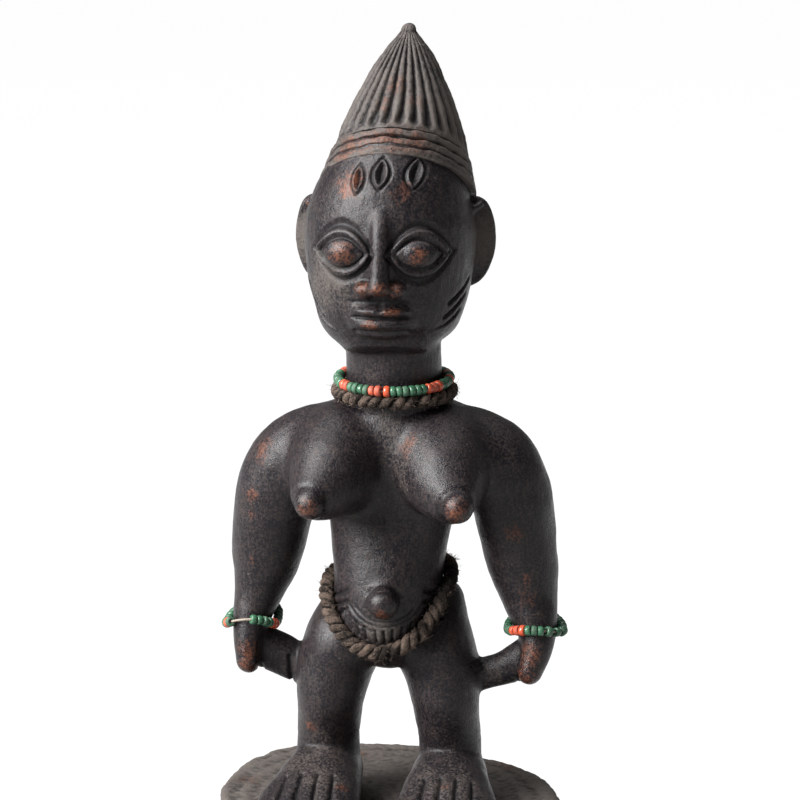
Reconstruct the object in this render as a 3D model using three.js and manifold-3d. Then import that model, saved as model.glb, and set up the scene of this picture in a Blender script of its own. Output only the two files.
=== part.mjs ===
// An ibeji figure: a standing woman carved with her round base from one block of wood, with a twisted cord
// and a string of beads round the neck, a thicker twisted cord round the hips and a string of beads on each
// wrist. Millimetres, +Z up. She faces -Y, and the origin is the middle of the base's underside.
import * as THREE from "three";
import { mergeVertices } from "three/addons/utils/BufferGeometryUtils.js";
import Module from "manifold-3d";

const wasm = await Module();
wasm.setup();

// Driving dimensions
const FIGURE_HEIGHT = 258; // from the top of the base to the tip of the hair
const BASE_RADIUS = 57.8;
const BASE_THICKNESS = 24;
const BASE_RIM = 2.4; // how far the rim of the base is worn round
const NECK_CORD_DIAMETER = 5.1;
const NECK_CORD_LAY = 13; // length of one full twist
const WAIST_CORD_DIAMETER = 5.8;
const WAIST_CORD_LAY = 15;
const BEAD_DIAMETER = 3.4;
const BEAD_LENGTH = 2.4;
const THREAD_DIAMETER = 0.8;
const CLEARANCE = 0.35; // between a cord or string and what it lies on
const HAIR_RIDGES = 28;
const HAIR_BANDS = 3;
const TOES = 5;

// The carving is set out in hundredths of its own height, above the base. Across is from her middle line.
const PART = FIGURE_HEIGHT / 100;
const FACE_MIDDLE = 0.6;
const CHEST_MIDDLE = 0.95;
const HIP_MIDDLE = 0.2;
const NECK_FOOT = 52.9; // height at which the neck cord lies on the shoulders
const WRIST_HEIGHT = 23.4;

const UP = new THREE.Vector3(0, 0, 1);
const BACK = new THREE.Vector3(0, 1, 0);
const ACROSS = new THREE.Vector3(1, 0, 0);

const WOOD = new THREE.MeshStandardMaterial({ color: 0x2b2422, roughness: 0.5, metalness: 0 });
const FIBRE = new THREE.MeshStandardMaterial({ color: 0x5a4c42, roughness: 0.95, metalness: 0 });
const GREEN_GLASS = new THREE.MeshStandardMaterial({ color: 0x2f8a5b, roughness: 0.3, metalness: 0 });

// Solids and meshes

function solidOf(geometry) {
  const bare = geometry.clone();
  bare.deleteAttribute("normal");
  bare.deleteAttribute("uv");
  const merged = mergeVertices(bare, 1e-3);
  const triVerts = new Uint32Array(merged.index.array);
  const vertProperties = new Float32Array(merged.attributes.position.array);
  const made = new wasm.Manifold(new wasm.Mesh({ numProp: 3, vertProperties, triVerts }));
  if (made.volume() > 0) return made;
  for (let i = 0; i < triVerts.length; i += 3) {
    [triVerts[i + 1], triVerts[i + 2]] = [triVerts[i + 2], triVerts[i + 1]];
  }
  return new wasm.Manifold(new wasm.Mesh({ numProp: 3, vertProperties, triVerts }));
}

function joined(geometries) {
  return geometries.map(solidOf).reduce((whole, piece) => whole.add(piece));
}

function geometryOf(solid) {
  const { vertProperties, triVerts, numProp } = solid.getMesh();
  const points = new Float32Array((vertProperties.length / numProp) * 3);
  for (let i = 0; i < points.length / 3; i++) {
    points.set(vertProperties.subarray(i * numProp, i * numProp + 3), i * 3);
  }
  const geometry = new THREE.BufferGeometry();
  geometry.setAttribute("position", new THREE.BufferAttribute(points, 3));
  geometry.setIndex(new THREE.BufferAttribute(triVerts, 1));
  geometry.computeVertexNormals();
  return geometry;
}

// A closed body swept through oval sections. A station is [x, y, z, wide, deep]: the section's middle and its
// half sizes. Each end is closed by a dome. axesAt gives the section's own two axes where they aren't square
// to the sweep, relief scales the radius, and floor cuts the section's lower side flat.
function sweptBody(stations, { around, rows = 1, domes = [1, 1], back = BACK, axesAt, relief, floor }) {
  const middles = new THREE.CatmullRomCurve3(
    stations.map(([x, y, z]) => new THREE.Vector3(x, y, z)),
    false,
    "catmullrom",
  );
  const sizes = new THREE.CatmullRomCurve3(
    stations.map(([, , , wide, deep]) => new THREE.Vector3(wide, deep, 0)),
    false,
    "catmullrom",
  );
  const ringAt = (t, dome, rise) => {
    const along = middles.getTangent(t);
    const [wideAxis, deepAxis] = axesAt
      ? axesAt(t)
      : [new THREE.Vector3().crossVectors(back, along).normalize(), null];
    const size = sizes.getPoint(t);
    const shrink = Math.cos(rise);
    return {
      t,
      middle: middles.getPoint(t).addScaledVector(along, dome * Math.sin(rise)),
      wide: wideAxis.clone().multiplyScalar(size.x * shrink),
      deep: new THREE.Vector3()
        .copy(deepAxis ?? new THREE.Vector3().crossVectors(along, wideAxis))
        .multiplyScalar(size.y * shrink),
    };
  };
  const domeRises = [Math.PI / 2, Math.PI / 4];
  const spans = (stations.length - 1) * rows;
  const rings = [
    ...domeRises.map((rise) => ringAt(0, -domes[0], rise)),
    ...Array.from({ length: spans + 1 }, (_, i) => ringAt(i / spans, 0, 0)),
    ...[...domeRises].reverse().map((rise) => ringAt(1, domes[1], rise)),
  ];
  const geometry = new THREE.SphereGeometry(1, around, rings.length - 1);
  const position = geometry.attributes.position;
  for (let i = 0; i < position.count; i++) {
    const ring = rings[Math.floor(i / (around + 1))];
    const step = i % (around + 1) % around;
    const angle = (step / around) * 2 * Math.PI;
    const scale = relief ? relief(step, ring.t) : 1;
    const point = ring.middle
      .clone()
      .addScaledVector(ring.wide, -Math.cos(angle) * scale)
      .addScaledVector(ring.deep, Math.sin(angle) * scale);
    if (floor !== undefined) point.z = Math.max(point.z, floor);
    position.setXYZ(i, point.x, point.y, point.z);
  }
  return geometry.scale(PART, PART, PART);
}

// An ellipsoid at a place, turned about the upright axis by degrees.
function knob([x, y, z], [wide, deep, high], turn = 0, around = 12, rows = 8) {
  const geometry = new THREE.SphereGeometry(1, around, rows);
  geometry.rotateX(Math.PI / 2);
  geometry.scale(wide, deep, high);
  geometry.rotateZ(THREE.MathUtils.degToRad(turn));
  geometry.translate(x, y, z);
  return geometry.scale(PART, PART, PART);
}

const SIDES = [-1, 1]; // her right, which is on the viewer's left, then her left

// The trunk and neck

function trunk() {
  return sweptBody(
    [
      [0.3, 2.0, 20.9, 5.6, 5.6],
      [0.3, 1.0, 22.7, 5.2, 6.7],
      [0.15, 0.6, 24.5, 6.3, 8.3],
      [0.1, 0.5, 26.6, 6.8, 8.6],
      [0.25, 0.3, 30.0, 7.0, 7.7],
      [0.35, 0.5, 34.0, 7.5, 6.7],
      [0.6, 0.9, 39.0, 8.4, 6.5],
      [0.8, 1.1, 44.0, 10.6, 6.6],
      [0.95, 1.1, 48.0, 11.0, 6.5],
      [0.95, 0.9, 50.9, 9.8, 6.4],
    ],
    { around: 16, domes: [1.3, 2.3] },
  );
}

function neck() {
  return sweptBody(
    [
      [CHEST_MIDDLE, 0.8, 49, 6.4, 6.3],
      [CHEST_MIDDLE, 0.4, 57, 6.05, 6.0],
      [FACE_MIDDLE, 0.0, 66, 6.3, 6.3],
    ],
    { around: 16 },
  );
}

// The navel stands out as a knob on a low swelling.
const NAVEL = [0.6, -8.9, 28.6];

function navel() {
  const [x, y, z] = NAVEL;
  return [knob([x, y + 1.6, z - 0.2], [3.1, 1.9, 3.1], 0, 10, 5), knob(NAVEL, [2.15, 2.3, 2.1], 0, 8, 5)];
}

// A long pointed breast with a ring and a knob at its tip
function breast(side) {
  const at = (across) => CHEST_MIDDLE + side * across;
  return [
    sweptBody(
      [
        [at(6.3), 0.0, 45.2, 7.2, 7.4],
        [at(6.9), -4.0, 44.6, 6.3, 6.4],
        [at(7.9), -8.0, 43.3, 4.9, 4.9],
        [at(8.7), -11.2, 42.1, 3.2, 3.2],
      ],
      { around: 12, domes: [1, 1.2], back: UP },
    ),
    knob([at(9.0), -12.5, 42.0], [1.8, 1.9, 1.8], 0, 8, 5),
  ];
}

// Arms, with the thumb hanging in front and the palm laid against the thigh. Her arms are carved a little
// differently: the left thumb leans in.

const RIGHT_ARM = [
  [3.0, 1.0, 46.3, 5.2, 5.5],
  [8.0, 1.0, 46.5, 5.45, 5.9],
  [12.4, 1.3, 44.7, 5.7, 5.9],
  [14.9, 1.7, 41.1, 5.45, 5.6],
  [15.85, 2.0, 37.6, 5.15, 5.4],
  [16.5, 2.4, 33.8, 4.85, 5.1],
  [17.1, 2.5, 30.2, 4.3, 4.75],
  [17.85, 1.9, 26.9, 3.35, 4.1],
  [18.55, 0.6, 23.7, 2.5, 3.2],
  [18.85, -0.7, 20.9, 2.0, 2.5],
  [18.7, -1.6, 18.2, 1.6, 2.0],
];
const LEFT_ARM = [
  [3.0, 1.0, 46.4, 5.25, 5.5],
  [8.0, 1.0, 46.6, 5.5, 5.9],
  [12.3, 1.3, 44.8, 5.7, 5.9],
  [14.6, 1.7, 41.1, 5.4, 5.6],
  [15.4, 2.0, 37.6, 5.1, 5.4],
  [15.95, 2.4, 33.8, 4.8, 5.1],
  [16.65, 2.5, 30.2, 4.4, 4.75],
  [17.4, 1.9, 26.9, 3.65, 4.1],
  [18.3, 0.6, 23.7, 2.8, 3.2],
  [18.6, -0.7, 20.9, 2.1, 2.5],
  [17.75, -1.6, 17.9, 1.6, 2.0],
];
const RIGHT_PALM = [
  [18.0, 0.6, 19.9, 2.8, 2.0],
  [15.0, 1.2, 18.4, 2.8, 1.9],
  [12.4, 1.4, 17.0, 2.5, 1.85],
  [8.5, 1.4, 15.4, 2.3, 1.8],
];
const LEFT_PALM = [
  [17.6, 0.6, 19.2, 2.8, 2.0],
  [14.0, 1.3, 17.35, 2.2, 1.9],
  [11.4, 1.4, 16.5, 2.1, 1.85],
  [8.5, 1.4, 15.5, 2.0, 1.8],
];

const onSide = (stations, side, middle) => stations.map(([x, ...rest]) => [middle + side * x, ...rest]);

function arm(side) {
  const stations = onSide(side < 0 ? RIGHT_ARM : LEFT_ARM, side, CHEST_MIDDLE);
  return sweptBody(stations, { around: 12, domes: [1, 1.7] });
}

function palm(side) {
  const stations = onSide(side < 0 ? RIGHT_PALM : LEFT_PALM, side, CHEST_MIDDLE);
  return sweptBody(stations, { around: 8, domes: [0.8, 0.8] });
}

// Legs, buttocks and feet

const RIGHT_HIP = [4.3, 3.0, 24.8, 4.4, 4.3];
const LEFT_HIP = [4.9, 3.0, 25.6, 4.7, 4.3];
const LEG = [
  [5.6, 1.4, 21.2, 5.15, 6.5],
  [6.8, 0.7, 17.6, 4.95, 6.1],
  [7.4, 0.0, 14.2, 4.5, 5.2],
  [7.65, 0.5, 11.3, 4.15, 4.8],
  [7.95, 1.1, 8.0, 4.05, 4.4],
  [8.0, 1.3, 4.0, 4.1, 4.3],
];

function leg(side) {
  const stations = onSide([side < 0 ? RIGHT_HIP : LEFT_HIP, ...LEG], side, HIP_MIDDLE);
  return sweptBody(stations, { around: 12, domes: [1.3, 0.5] });
}

function buttock(side) {
  return knob([HIP_MIDDLE + side * 3.7, 5.4, 22.4], [4.2, 4.4, 4.8], 0, 10, 7);
}

const FOOT = [
  [8.0, 4.2, 2.6, 3.8, 3.2],
  [8.1, 1.0, 3.3, 4.7, 4.0],
  [8.2, -3.0, 3.3, 5.2, 4.0],
  [8.5, -7.5, 2.8, 6.0, 3.3],
  [8.9, -12.0, 2.2, 6.6, 2.6],
  [9.1, -15.6, 1.5, 6.4, 1.9],
];
const FOOT_SUNK = 0.8; // how far the feet reach down into the base

function foot(side) {
  const stations = onSide(FOOT, side, HIP_MIDDLE);
  return sweptBody(stations, { around: 12, domes: [1.2, 1.6], back: UP, floor: -FOOT_SUNK });
}

// The grooves between the toes fan out from the instep.
function toeGrooves(side) {
  const grooveWide = 0.55;
  const grooveLength = 14;
  return Array.from({ length: TOES - 1 }, (_, i) => {
    const share = (i + 1.15) / (TOES + 0.15) - 0.5;
    const cutter = new THREE.CylinderGeometry(grooveWide, grooveWide, grooveLength, 4);
    cutter.scale(1, 1, 1.6);
    cutter.rotateX(THREE.MathUtils.degToRad(15));
    cutter.rotateZ(THREE.MathUtils.degToRad(14 * share * side));
    cutter.translate(HIP_MIDDLE + side * (8.95 + 12.4 * share), -15.2, 4.35);
    return cutter.scale(PART, PART, PART);
  });
}

// The head. The face is a plain one of the carver's usual kind: brow, nose and chin divide it in thirds.

const CHIN = 59.6;
const SKULL_TOP = 87.2;
const HAIR_TIP = 100;
const headAt = (share) => THREE.MathUtils.lerp(CHIN, SKULL_TOP, share);
const EYE_HEIGHT = headAt(0.5);
const BROW = headAt(0.62);
const NOSE_BASE = (CHIN + BROW) / 2;
const MOUTH = NOSE_BASE - (NOSE_BASE - CHIN) / 3;
const EYE_ACROSS = 4.8;

function head() {
  return sweptBody(
    [
      [FACE_MIDDLE - 0.2, -3.4, headAt(0.015), 5.4, 5.2],
      [FACE_MIDDLE - 0.2, -2.6, headAt(0.11), 8.3, 7.9],
      [FACE_MIDDLE, -1.7, headAt(0.25), 9.8, 9.6],
      [FACE_MIDDLE, -0.8, headAt(0.41), 10.6, 10.8],
      [FACE_MIDDLE, 0.0, headAt(0.575), 10.7, 11.2],
      [FACE_MIDDLE + 0.4, 0.8, headAt(0.74), 9.5, 10.7],
      [FACE_MIDDLE + 0.9, 1.6, headAt(0.9), 7.7, 9.0],
    ],
    { around: 20, domes: [0.9, 3] },
  );
}

const lookOut = new THREE.Raycaster();
const skull = new THREE.Mesh(head(), new THREE.MeshBasicMaterial({ side: THREE.DoubleSide }));

// How far forward the bare head reaches at a place on the face
function frontOfHead(across, height) {
  const from = new THREE.Vector3((FACE_MIDDLE + across) * PART, -FIGURE_HEIGHT, height * PART);
  lookOut.set(from, BACK);
  return lookOut.intersectObject(skull)[0].point.y / PART;
}

function face() {
  const eyes = SIDES.flatMap((side) => {
    const front = frontOfHead(side * EYE_ACROSS, EYE_HEIGHT);
    return [
      knob([FACE_MIDDLE + side * EYE_ACROSS, front, EYE_HEIGHT], [3.4, 0.9, 2.5], side * 24, 10, 5),
      knob([FACE_MIDDLE + side * EYE_ACROSS, front, EYE_HEIGHT], [2.4, 1.6, 1.7], side * 24, 8, 5),
    ];
  });
  const noseFront = frontOfHead(0, NOSE_BASE);
  const ridge = sweptBody(
    [
      [FACE_MIDDLE, frontOfHead(0, BROW + 2) + 0.3, BROW + 2, 1.2, 0.9],
      [FACE_MIDDLE, frontOfHead(0, BROW) - 0.1, BROW - 1, 1.0, 1.1],
      [FACE_MIDDLE, noseFront - 1.0, NOSE_BASE + 3, 1.3, 1.5],
      [FACE_MIDDLE, noseFront - 1.4, NOSE_BASE + 1, 1.7, 1.7],
    ],
    { around: 8, domes: [0.6, 0.9] },
  );
  const nostrils = SIDES.map((side) =>
    knob([FACE_MIDDLE + side * 1.9, noseFront - 0.4, NOSE_BASE + 0.8], [1.3, 1.4, 1.0], 0, 8, 4),
  );
  const mouthFront = frontOfHead(0, MOUTH);
  const muzzle = knob([FACE_MIDDLE, mouthFront + 2.2, MOUTH], [4.9, 2.9, 3.1], 0, 12, 5);
  const lips = [0.85, -0.85].map((rise) =>
    knob([FACE_MIDDLE, mouthFront + 0.7, MOUTH + rise], [3.6, 2.0, 0.8], 0, 10, 4),
  );
  return [...eyes, ridge, ...nostrils, muzzle, ...lips];
}

// Three pointed ovals cut in a row across the forehead, given by place across, half width and half height
const FOREHEAD_MARKS = [
  [-3.0, 0.75, 1.85],
  [-0.1, 1.15, 2.2],
  [4.05, 1.25, 2.2],
];
const MARK_HEIGHT = headAt(0.848);

function foreheadMarks() {
  return FOREHEAD_MARKS.map(([across, wide, high]) =>
    knob([FACE_MIDDLE + across, frontOfHead(across, MARK_HEIGHT), MARK_HEIGHT], [wide, 0.9, high], 0, 6, 4),
  );
}

// Ears stand out from the head like half dishes that face forwards.
const EAR = { across: 9.9, y: 3.0, z: headAt(0.485), wide: 3.0, thick: 1.25, high: 5.6, swept: 24 };

function ear(side) {
  const at = [FACE_MIDDLE + 0.3 + side * EAR.across, EAR.y, EAR.z];
  return knob(at, [EAR.wide, EAR.thick, EAR.high], side * EAR.swept, 10, 6);
}

function earDish(side) {
  const inset = 0.78;
  const at = [FACE_MIDDLE + 0.3 + side * (EAR.across + 0.35), EAR.y - 1.25, EAR.z];
  return knob(at, [EAR.wide * inset, EAR.thick, EAR.high * inset], side * EAR.swept, 8, 5);
}

// Hair: bands along a hairline that drops to the nape, and a ridged crest that leans back from them.
// A station ends with its section's tilt in degrees, raised at the front.

const HAIRLINE = [
  [1.2, 2.0, headAt(0.743), 9.6, 10.8, 32],
  [1.6, 2.4, headAt(0.9), 8.1, 9.3, 28],
];
const hairAt = (share) => THREE.MathUtils.lerp(headAt(0.87), HAIR_TIP, share);
const CREST = [
  [1.5, 2.5, hairAt(0), 8.1, 8.9, 28],
  [1.75, 2.9, hairAt(0.22), 7.3, 7.9, 20],
  [1.95, 3.5, hairAt(0.465), 5.95, 6.4, 11],
  [2.15, 4.0, hairAt(0.715), 3.55, 3.8, 5],
  [2.3, 4.4, hairAt(0.935), 1.0, 1.05, 0],
];
const BAND_STAND = 0.35; // how far each band stands out
const RIDGE_DEPTH = 0.07; // share of the radius

function tiltedAxes(stations) {
  return (t) => {
    const at = t * (stations.length - 1);
    const low = Math.min(Math.floor(at), stations.length - 2);
    const degrees = THREE.MathUtils.lerp(stations[low][5], stations[low + 1][5], at - low);
    const tilt = THREE.MathUtils.degToRad(degrees);
    return [ACROSS, new THREE.Vector3(0, Math.cos(tilt), -Math.sin(tilt))];
  };
}

function hairBands() {
  const rows = 2 * HAIR_BANDS;
  const stand = BAND_STAND / HAIRLINE[0][3];
  const relief = (step, t) => (Math.round(t * rows) % 2 ? 1 + stand : 1 - stand);
  return sweptBody(HAIRLINE, { around: 24, rows, domes: [0.2, 0.2], axesAt: tiltedAxes(HAIRLINE), relief });
}

function crest() {
  const relief = (step) => (step % 2 ? 1 - RIDGE_DEPTH : 1);
  return sweptBody(CREST, { around: 2 * HAIR_RIDGES, domes: [0.5, 0.9], axesAt: tiltedAxes(CREST), relief });
}

// The base is a hand-hewn disc, so its rim wanders a little.
function base() {
  const wander = (angle) =>
    1 - 0.053 * Math.sin(2 * angle) + 0.02 * Math.cos(3 * angle) + 0.006 * Math.sin(7 * angle);
  const outline = [
    [0, 0],
    [BASE_RADIUS - BASE_RIM / 2, 0],
    [BASE_RADIUS, BASE_RIM / 2],
    [BASE_RADIUS, BASE_THICKNESS - BASE_RIM],
    [BASE_RADIUS - BASE_RIM / 2, BASE_THICKNESS],
    [0, BASE_THICKNESS],
  ];
  const geometry = new THREE.LatheGeometry(outline.map(([r, z]) => new THREE.Vector2(r, z)), 36);
  geometry.rotateX(Math.PI / 2);
  const position = geometry.attributes.position;
  for (let i = 0; i < position.count; i++) {
    const scale = wander(Math.atan2(position.getY(i), position.getX(i)));
    position.setXY(i, position.getX(i) * scale, position.getY(i) * scale);
  }
  return geometry;
}

function carving() {
  const pieces = [trunk(), neck(), ...navel(), head(), ...face(), hairBands(), crest()];
  for (const side of SIDES) {
    pieces.push(...breast(side), arm(side), palm(side), leg(side), buttock(side), foot(side), ear(side));
  }
  const cuts = [...foreheadMarks(), ...SIDES.flatMap((side) => [...toeGrooves(side), earDish(side)])];
  const body = joined(pieces).subtract(joined(cuts)).translate([0, 0, BASE_THICKNESS]);
  return body.add(solidOf(base()));
}

const figure = new THREE.Mesh(geometryOf(carving()), WOOD);
figure.name = "figure";

// Cords and strings. Each is a loop round a limb, laid on the carving by looking out from inside the limb.

const seen = new THREE.Mesh(figure.geometry, new THREE.MeshBasicMaterial({ side: THREE.DoubleSide }));

function surfaceRadius(middle, direction, height) {
  lookOut.set(new THREE.Vector3(middle.x, middle.y, height), direction);
  return lookOut.intersectObject(seen)[0].distance;
}

// The loop's middle, its height at each angle and the radius of what is threaded on it give the path. The
// path keeps clear of the carving all round the section, and slack is how much looser than that it hangs.
function loopPath({ middle, heightAt, radius, slack = 0, points = 40 }) {
  const path = Array.from({ length: points }, (_, i) => {
    const angle = (i / points) * 2 * Math.PI;
    const direction = new THREE.Vector3(Math.cos(angle), Math.sin(angle), 0);
    const height = heightAt(angle);
    const nearest = [-80, -50, -25, 0, 25, 50, 80].map((degrees) => {
      const turn = THREE.MathUtils.degToRad(degrees);
      return surfaceRadius(middle, direction, height + radius * Math.sin(turn)) + radius * Math.cos(turn);
    });
    return { angle, height, out: Math.max(...nearest) + CLEARANCE + slack };
  });
  const eased = path.map(({ out }, i) => {
    const between = (path.at(i - 1).out + path[(i + 1) % points].out) / 2;
    return Math.max(out, between);
  });
  return new THREE.CatmullRomCurve3(
    path.map(
      ({ angle, height }, i) =>
        new THREE.Vector3(
          middle.x + eased[i] * Math.cos(angle),
          middle.y + eased[i] * Math.sin(angle),
          height,
        ),
    ),
    true,
    "catmullrom",
  );
}

// A closed loop of rings, each at a share of the path. radiusAt takes the ring and the angle round it.
function loopBody(path, shares, sides, radiusAt) {
  const middle = path.getPoints(60).reduce((sum, p) => sum.add(p), new THREE.Vector3()).divideScalar(61);
  const rings = shares.map((share) => {
    const at = path.getPointAt(share);
    const along = path.getTangentAt(share);
    const out = at.clone().sub(middle).setZ(0);
    out.addScaledVector(along, -out.dot(along)).normalize();
    return { at, out, rise: new THREE.Vector3().crossVectors(out, along) };
  });
  const geometry = new THREE.TorusGeometry(2, 1, sides, rings.length);
  const position = geometry.attributes.position;
  for (let i = 0; i < position.count; i++) {
    const ringIndex = (i % (rings.length + 1)) % rings.length;
    const angle = ((Math.floor(i / (rings.length + 1)) % sides) / sides) * 2 * Math.PI;
    const radius = radiusAt(ringIndex, angle);
    const point = rings[ringIndex].at
      .clone()
      .addScaledVector(rings[ringIndex].out, radius * Math.cos(angle))
      .addScaledVector(rings[ringIndex].rise, radius * Math.sin(angle));
    position.setXYZ(i, point.x, point.y, point.z);
  }
  return geometry;
}

// A cord of two strands laid up round each other, its ends tied in a knot at one place
const STRANDS = 2;

function cord(name, path, diameter, lay, knotShare) {
  const turns = Math.round(path.getLength() / lay);
  const steps = 4 * turns;
  const shares = Array.from({ length: steps }, (_, i) => i / steps);
  const radiusAt = (ring, angle) => {
    const lobe = Math.cos(STRANDS * (angle - 2 * Math.PI * turns * shares[ring]));
    return (diameter / 2) * (0.84 + 0.16 * lobe);
  };
  const knotAt = path.getPointAt(knotShare);
  const out = knotAt.clone().setZ(0).normalize();
  const knot = new THREE.SphereGeometry(0.8 * diameter, 10, 8);
  knot.scale(1, 1, 0.85);
  knot.translate(...knotAt.clone().addScaledVector(out, 0.35 * diameter).toArray());
  const mesh = new THREE.Mesh(geometryOf(joined([loopBody(path, shares, 8, radiusAt), knot])), FIBRE);
  mesh.name = name;
  return mesh;
}

// A string full of beads but for a bare stretch of thread, given as shares of the loop
function beadString(name, path, bareFrom, bareTo) {
  const beads = Math.floor((path.getLength() * (1 - bareTo + bareFrom)) / BEAD_LENGTH);
  const each = (1 - bareTo + bareFrom) / beads;
  const rings = [];
  for (let i = 0; i < beads; i++) {
    const start = bareTo + i * each;
    rings.push([start, 0.6 * BEAD_DIAMETER], [start + 0.5 * each, BEAD_DIAMETER]);
  }
  const bareSteps = bareTo > bareFrom ? 3 : 0;
  for (let i = 0; i < bareSteps; i++) {
    rings.push([1 + bareFrom + ((bareTo - bareFrom) * (i + 0.3)) / bareSteps, THREAD_DIAMETER]);
  }
  const shares = rings.map(([share]) => share % 1);
  const mesh = new THREE.Mesh(loopBody(path, shares, 5, (ring) => rings[ring][1] / 2), GREEN_GLASS);
  mesh.name = name;
  return mesh;
}

const above = (parts) => BASE_THICKNESS + parts * PART;

function neckLoops() {
  const middle = new THREE.Vector3(CHEST_MIDDLE * PART, 0.6 * PART, 0);
  const cordHeight = above(NECK_FOOT) + NECK_CORD_DIAMETER / 2;
  const cordPath = loopPath({ middle, heightAt: () => cordHeight, radius: NECK_CORD_DIAMETER / 2 });
  const beadHeight = cordHeight + (NECK_CORD_DIAMETER + BEAD_DIAMETER) / 2 + CLEARANCE;
  const beadPath = loopPath({ middle, heightAt: () => beadHeight, radius: BEAD_DIAMETER / 2, slack: 0.3 });
  return [
    cord("neck_cord", cordPath, NECK_CORD_DIAMETER, NECK_CORD_LAY, 0.25),
    beadString("neck_bead_string", beadPath, 0, 0),
  ];
}

// The waist cord hangs low in front, under the belly, and rides up over the buttocks.
function waistLoop() {
  const middle = new THREE.Vector3(0.4 * PART, 0, 0);
  const heightAt = (angle) => {
    const back = Math.sin(angle);
    return above(28.7) + PART * (0.8 * Math.cos(angle) + back * (4.25 - 2.45 * back));
  };
  const path = loopPath({ middle, heightAt, radius: WAIST_CORD_DIAMETER / 2, slack: 0.4, points: 48 });
  return cord("waist_cord", path, WAIST_CORD_DIAMETER, WAIST_CORD_LAY, 0.1);
}

// A wrist string lies round the narrow of the arm, above the palm. Droop is how far its sides hang down.
function wristLoop(side, name, droop, bareFrom, bareTo) {
  const middle = new THREE.Vector3((CHEST_MIDDLE + side * 18.3) * PART, 0.5 * PART, 0);
  const heightAt = (angle) => above(WRIST_HEIGHT) - droop * PART * Math.cos(2 * angle);
  const path = loopPath({ middle, heightAt, radius: BEAD_DIAMETER / 2, points: 24 });
  return beadString(name, path, bareFrom, bareTo);
}

const ibeji = new THREE.Group();
ibeji.add(
  figure,
  ...neckLoops(),
  waistLoop(),
  wristLoop(-1, "right_wrist_beads", 0.7, 0.655, 0.775),
  wristLoop(1, "left_wrist_beads", 0.45, 0.88, 0.93),
);

export default ibeji;
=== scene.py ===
"""Dresses the packed twin figure: fine carving, aged wood, laid cords, threaded beads and a pale stage."""

import math
import random

import bmesh
import bpy
import numpy as np
from bpy.props import FloatProperty, FloatVectorProperty, IntProperty, PointerProperty
from mathutils import Matrix, Vector, noise
from mathutils.bvhtree import BVHTree
from mathutils.kdtree import KDTree


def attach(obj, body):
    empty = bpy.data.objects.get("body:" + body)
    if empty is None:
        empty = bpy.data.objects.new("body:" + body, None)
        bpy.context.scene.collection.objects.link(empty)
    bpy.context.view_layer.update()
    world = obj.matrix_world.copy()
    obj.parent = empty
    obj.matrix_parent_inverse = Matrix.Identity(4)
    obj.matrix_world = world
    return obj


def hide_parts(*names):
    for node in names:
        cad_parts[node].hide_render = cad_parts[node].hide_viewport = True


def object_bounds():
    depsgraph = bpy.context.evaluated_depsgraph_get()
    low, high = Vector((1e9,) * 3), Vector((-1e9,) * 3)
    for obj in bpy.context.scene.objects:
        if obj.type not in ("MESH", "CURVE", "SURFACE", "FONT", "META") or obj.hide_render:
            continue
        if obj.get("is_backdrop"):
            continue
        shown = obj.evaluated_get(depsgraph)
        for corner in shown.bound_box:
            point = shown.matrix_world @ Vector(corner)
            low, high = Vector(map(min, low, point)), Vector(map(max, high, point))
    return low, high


bl_info = {
    "name": "Ibeji Figure",
    "version": (1, 0, 0),
    "blender": (4, 5, 0),
    "location": "3D View > Sidebar > Ibeji",
    "description": "Carves, dresses and lights a small wooden twin figure",
    "category": "Object",
}

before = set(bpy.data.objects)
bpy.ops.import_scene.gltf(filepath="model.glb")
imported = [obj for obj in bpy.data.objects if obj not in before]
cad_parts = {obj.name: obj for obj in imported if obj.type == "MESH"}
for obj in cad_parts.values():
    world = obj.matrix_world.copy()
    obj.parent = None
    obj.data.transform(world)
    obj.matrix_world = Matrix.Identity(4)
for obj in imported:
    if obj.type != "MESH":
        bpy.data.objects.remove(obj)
CAD_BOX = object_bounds()
ONLY_BODY = "root"

MM = 0.001
FIGURE_HEIGHT = 258 * MM
PART = FIGURE_HEIGHT / 100  # the carving is set out in hundredths of its own height, above the base
BASE_THICKNESS = 24 * MM
BASE_RADIUS = 57.8 * MM
BASE_RIM = 2.4 * MM  # how far the rim is worn round
CLEARANCE = 0.3 * MM  # between a cord or string and the wood it lies on

NECK_FOOT = 52.9
WAIST_HEIGHT = 28.7
WRIST_HEIGHT = 23.4
WRIST_ACROSS = 18.3
FACE_MIDDLE = 0.6  # every middle lies a little to her left of the base's
CHEST_MIDDLE = 0.95
HIP_MIDDLE = 0.2
NECK_MIDDLE = (CHEST_MIDDLE * PART, 0.6 * PART)
WAIST_MIDDLE = (0.4 * PART, 0)
SIDES = (-1, 1)  # her right, on the viewer's left, then her left

RIGHTWARDS = np.array([1.0, 0.0, 0.0])
BACKWARDS = np.array([0.0, 1.0, 0.0])
UPWARDS = np.array([0.0, 0.0, 1.0])


# Settings that a user would change


class IbejiCarving(bpy.types.PropertyGroup):
    """How finely the wood is cut, and how the hair is dressed"""

    head_grain: FloatProperty(
        name="Head detail", description="Size of a facet on the head", default=0.45 * MM, unit="LENGTH"
    )
    body_grain: FloatProperty(
        name="Body detail", description="Size of a facet on the body", default=0.5 * MM, unit="LENGTH"
    )
    base_grain: FloatProperty(
        name="Base detail", description="Size of a facet on the base", default=0.75 * MM, unit="LENGTH"
    )
    most_triangles: IntProperty(
        name="Most triangles", description="Plain areas are thinned to leave this many", default=190000
    )
    blend_rounds: IntProperty(
        name="Blending", description="How softly one form runs into the next", default=48, min=0
    )
    hair_ridges: IntProperty(
        name="Hair ridges", description="Ridges round the crest of hair", default=28, min=12
    )
    hair_bands: IntProperty(
        name="Hair bands", description="Raised bands along the hairline", default=3, min=1
    )


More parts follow.
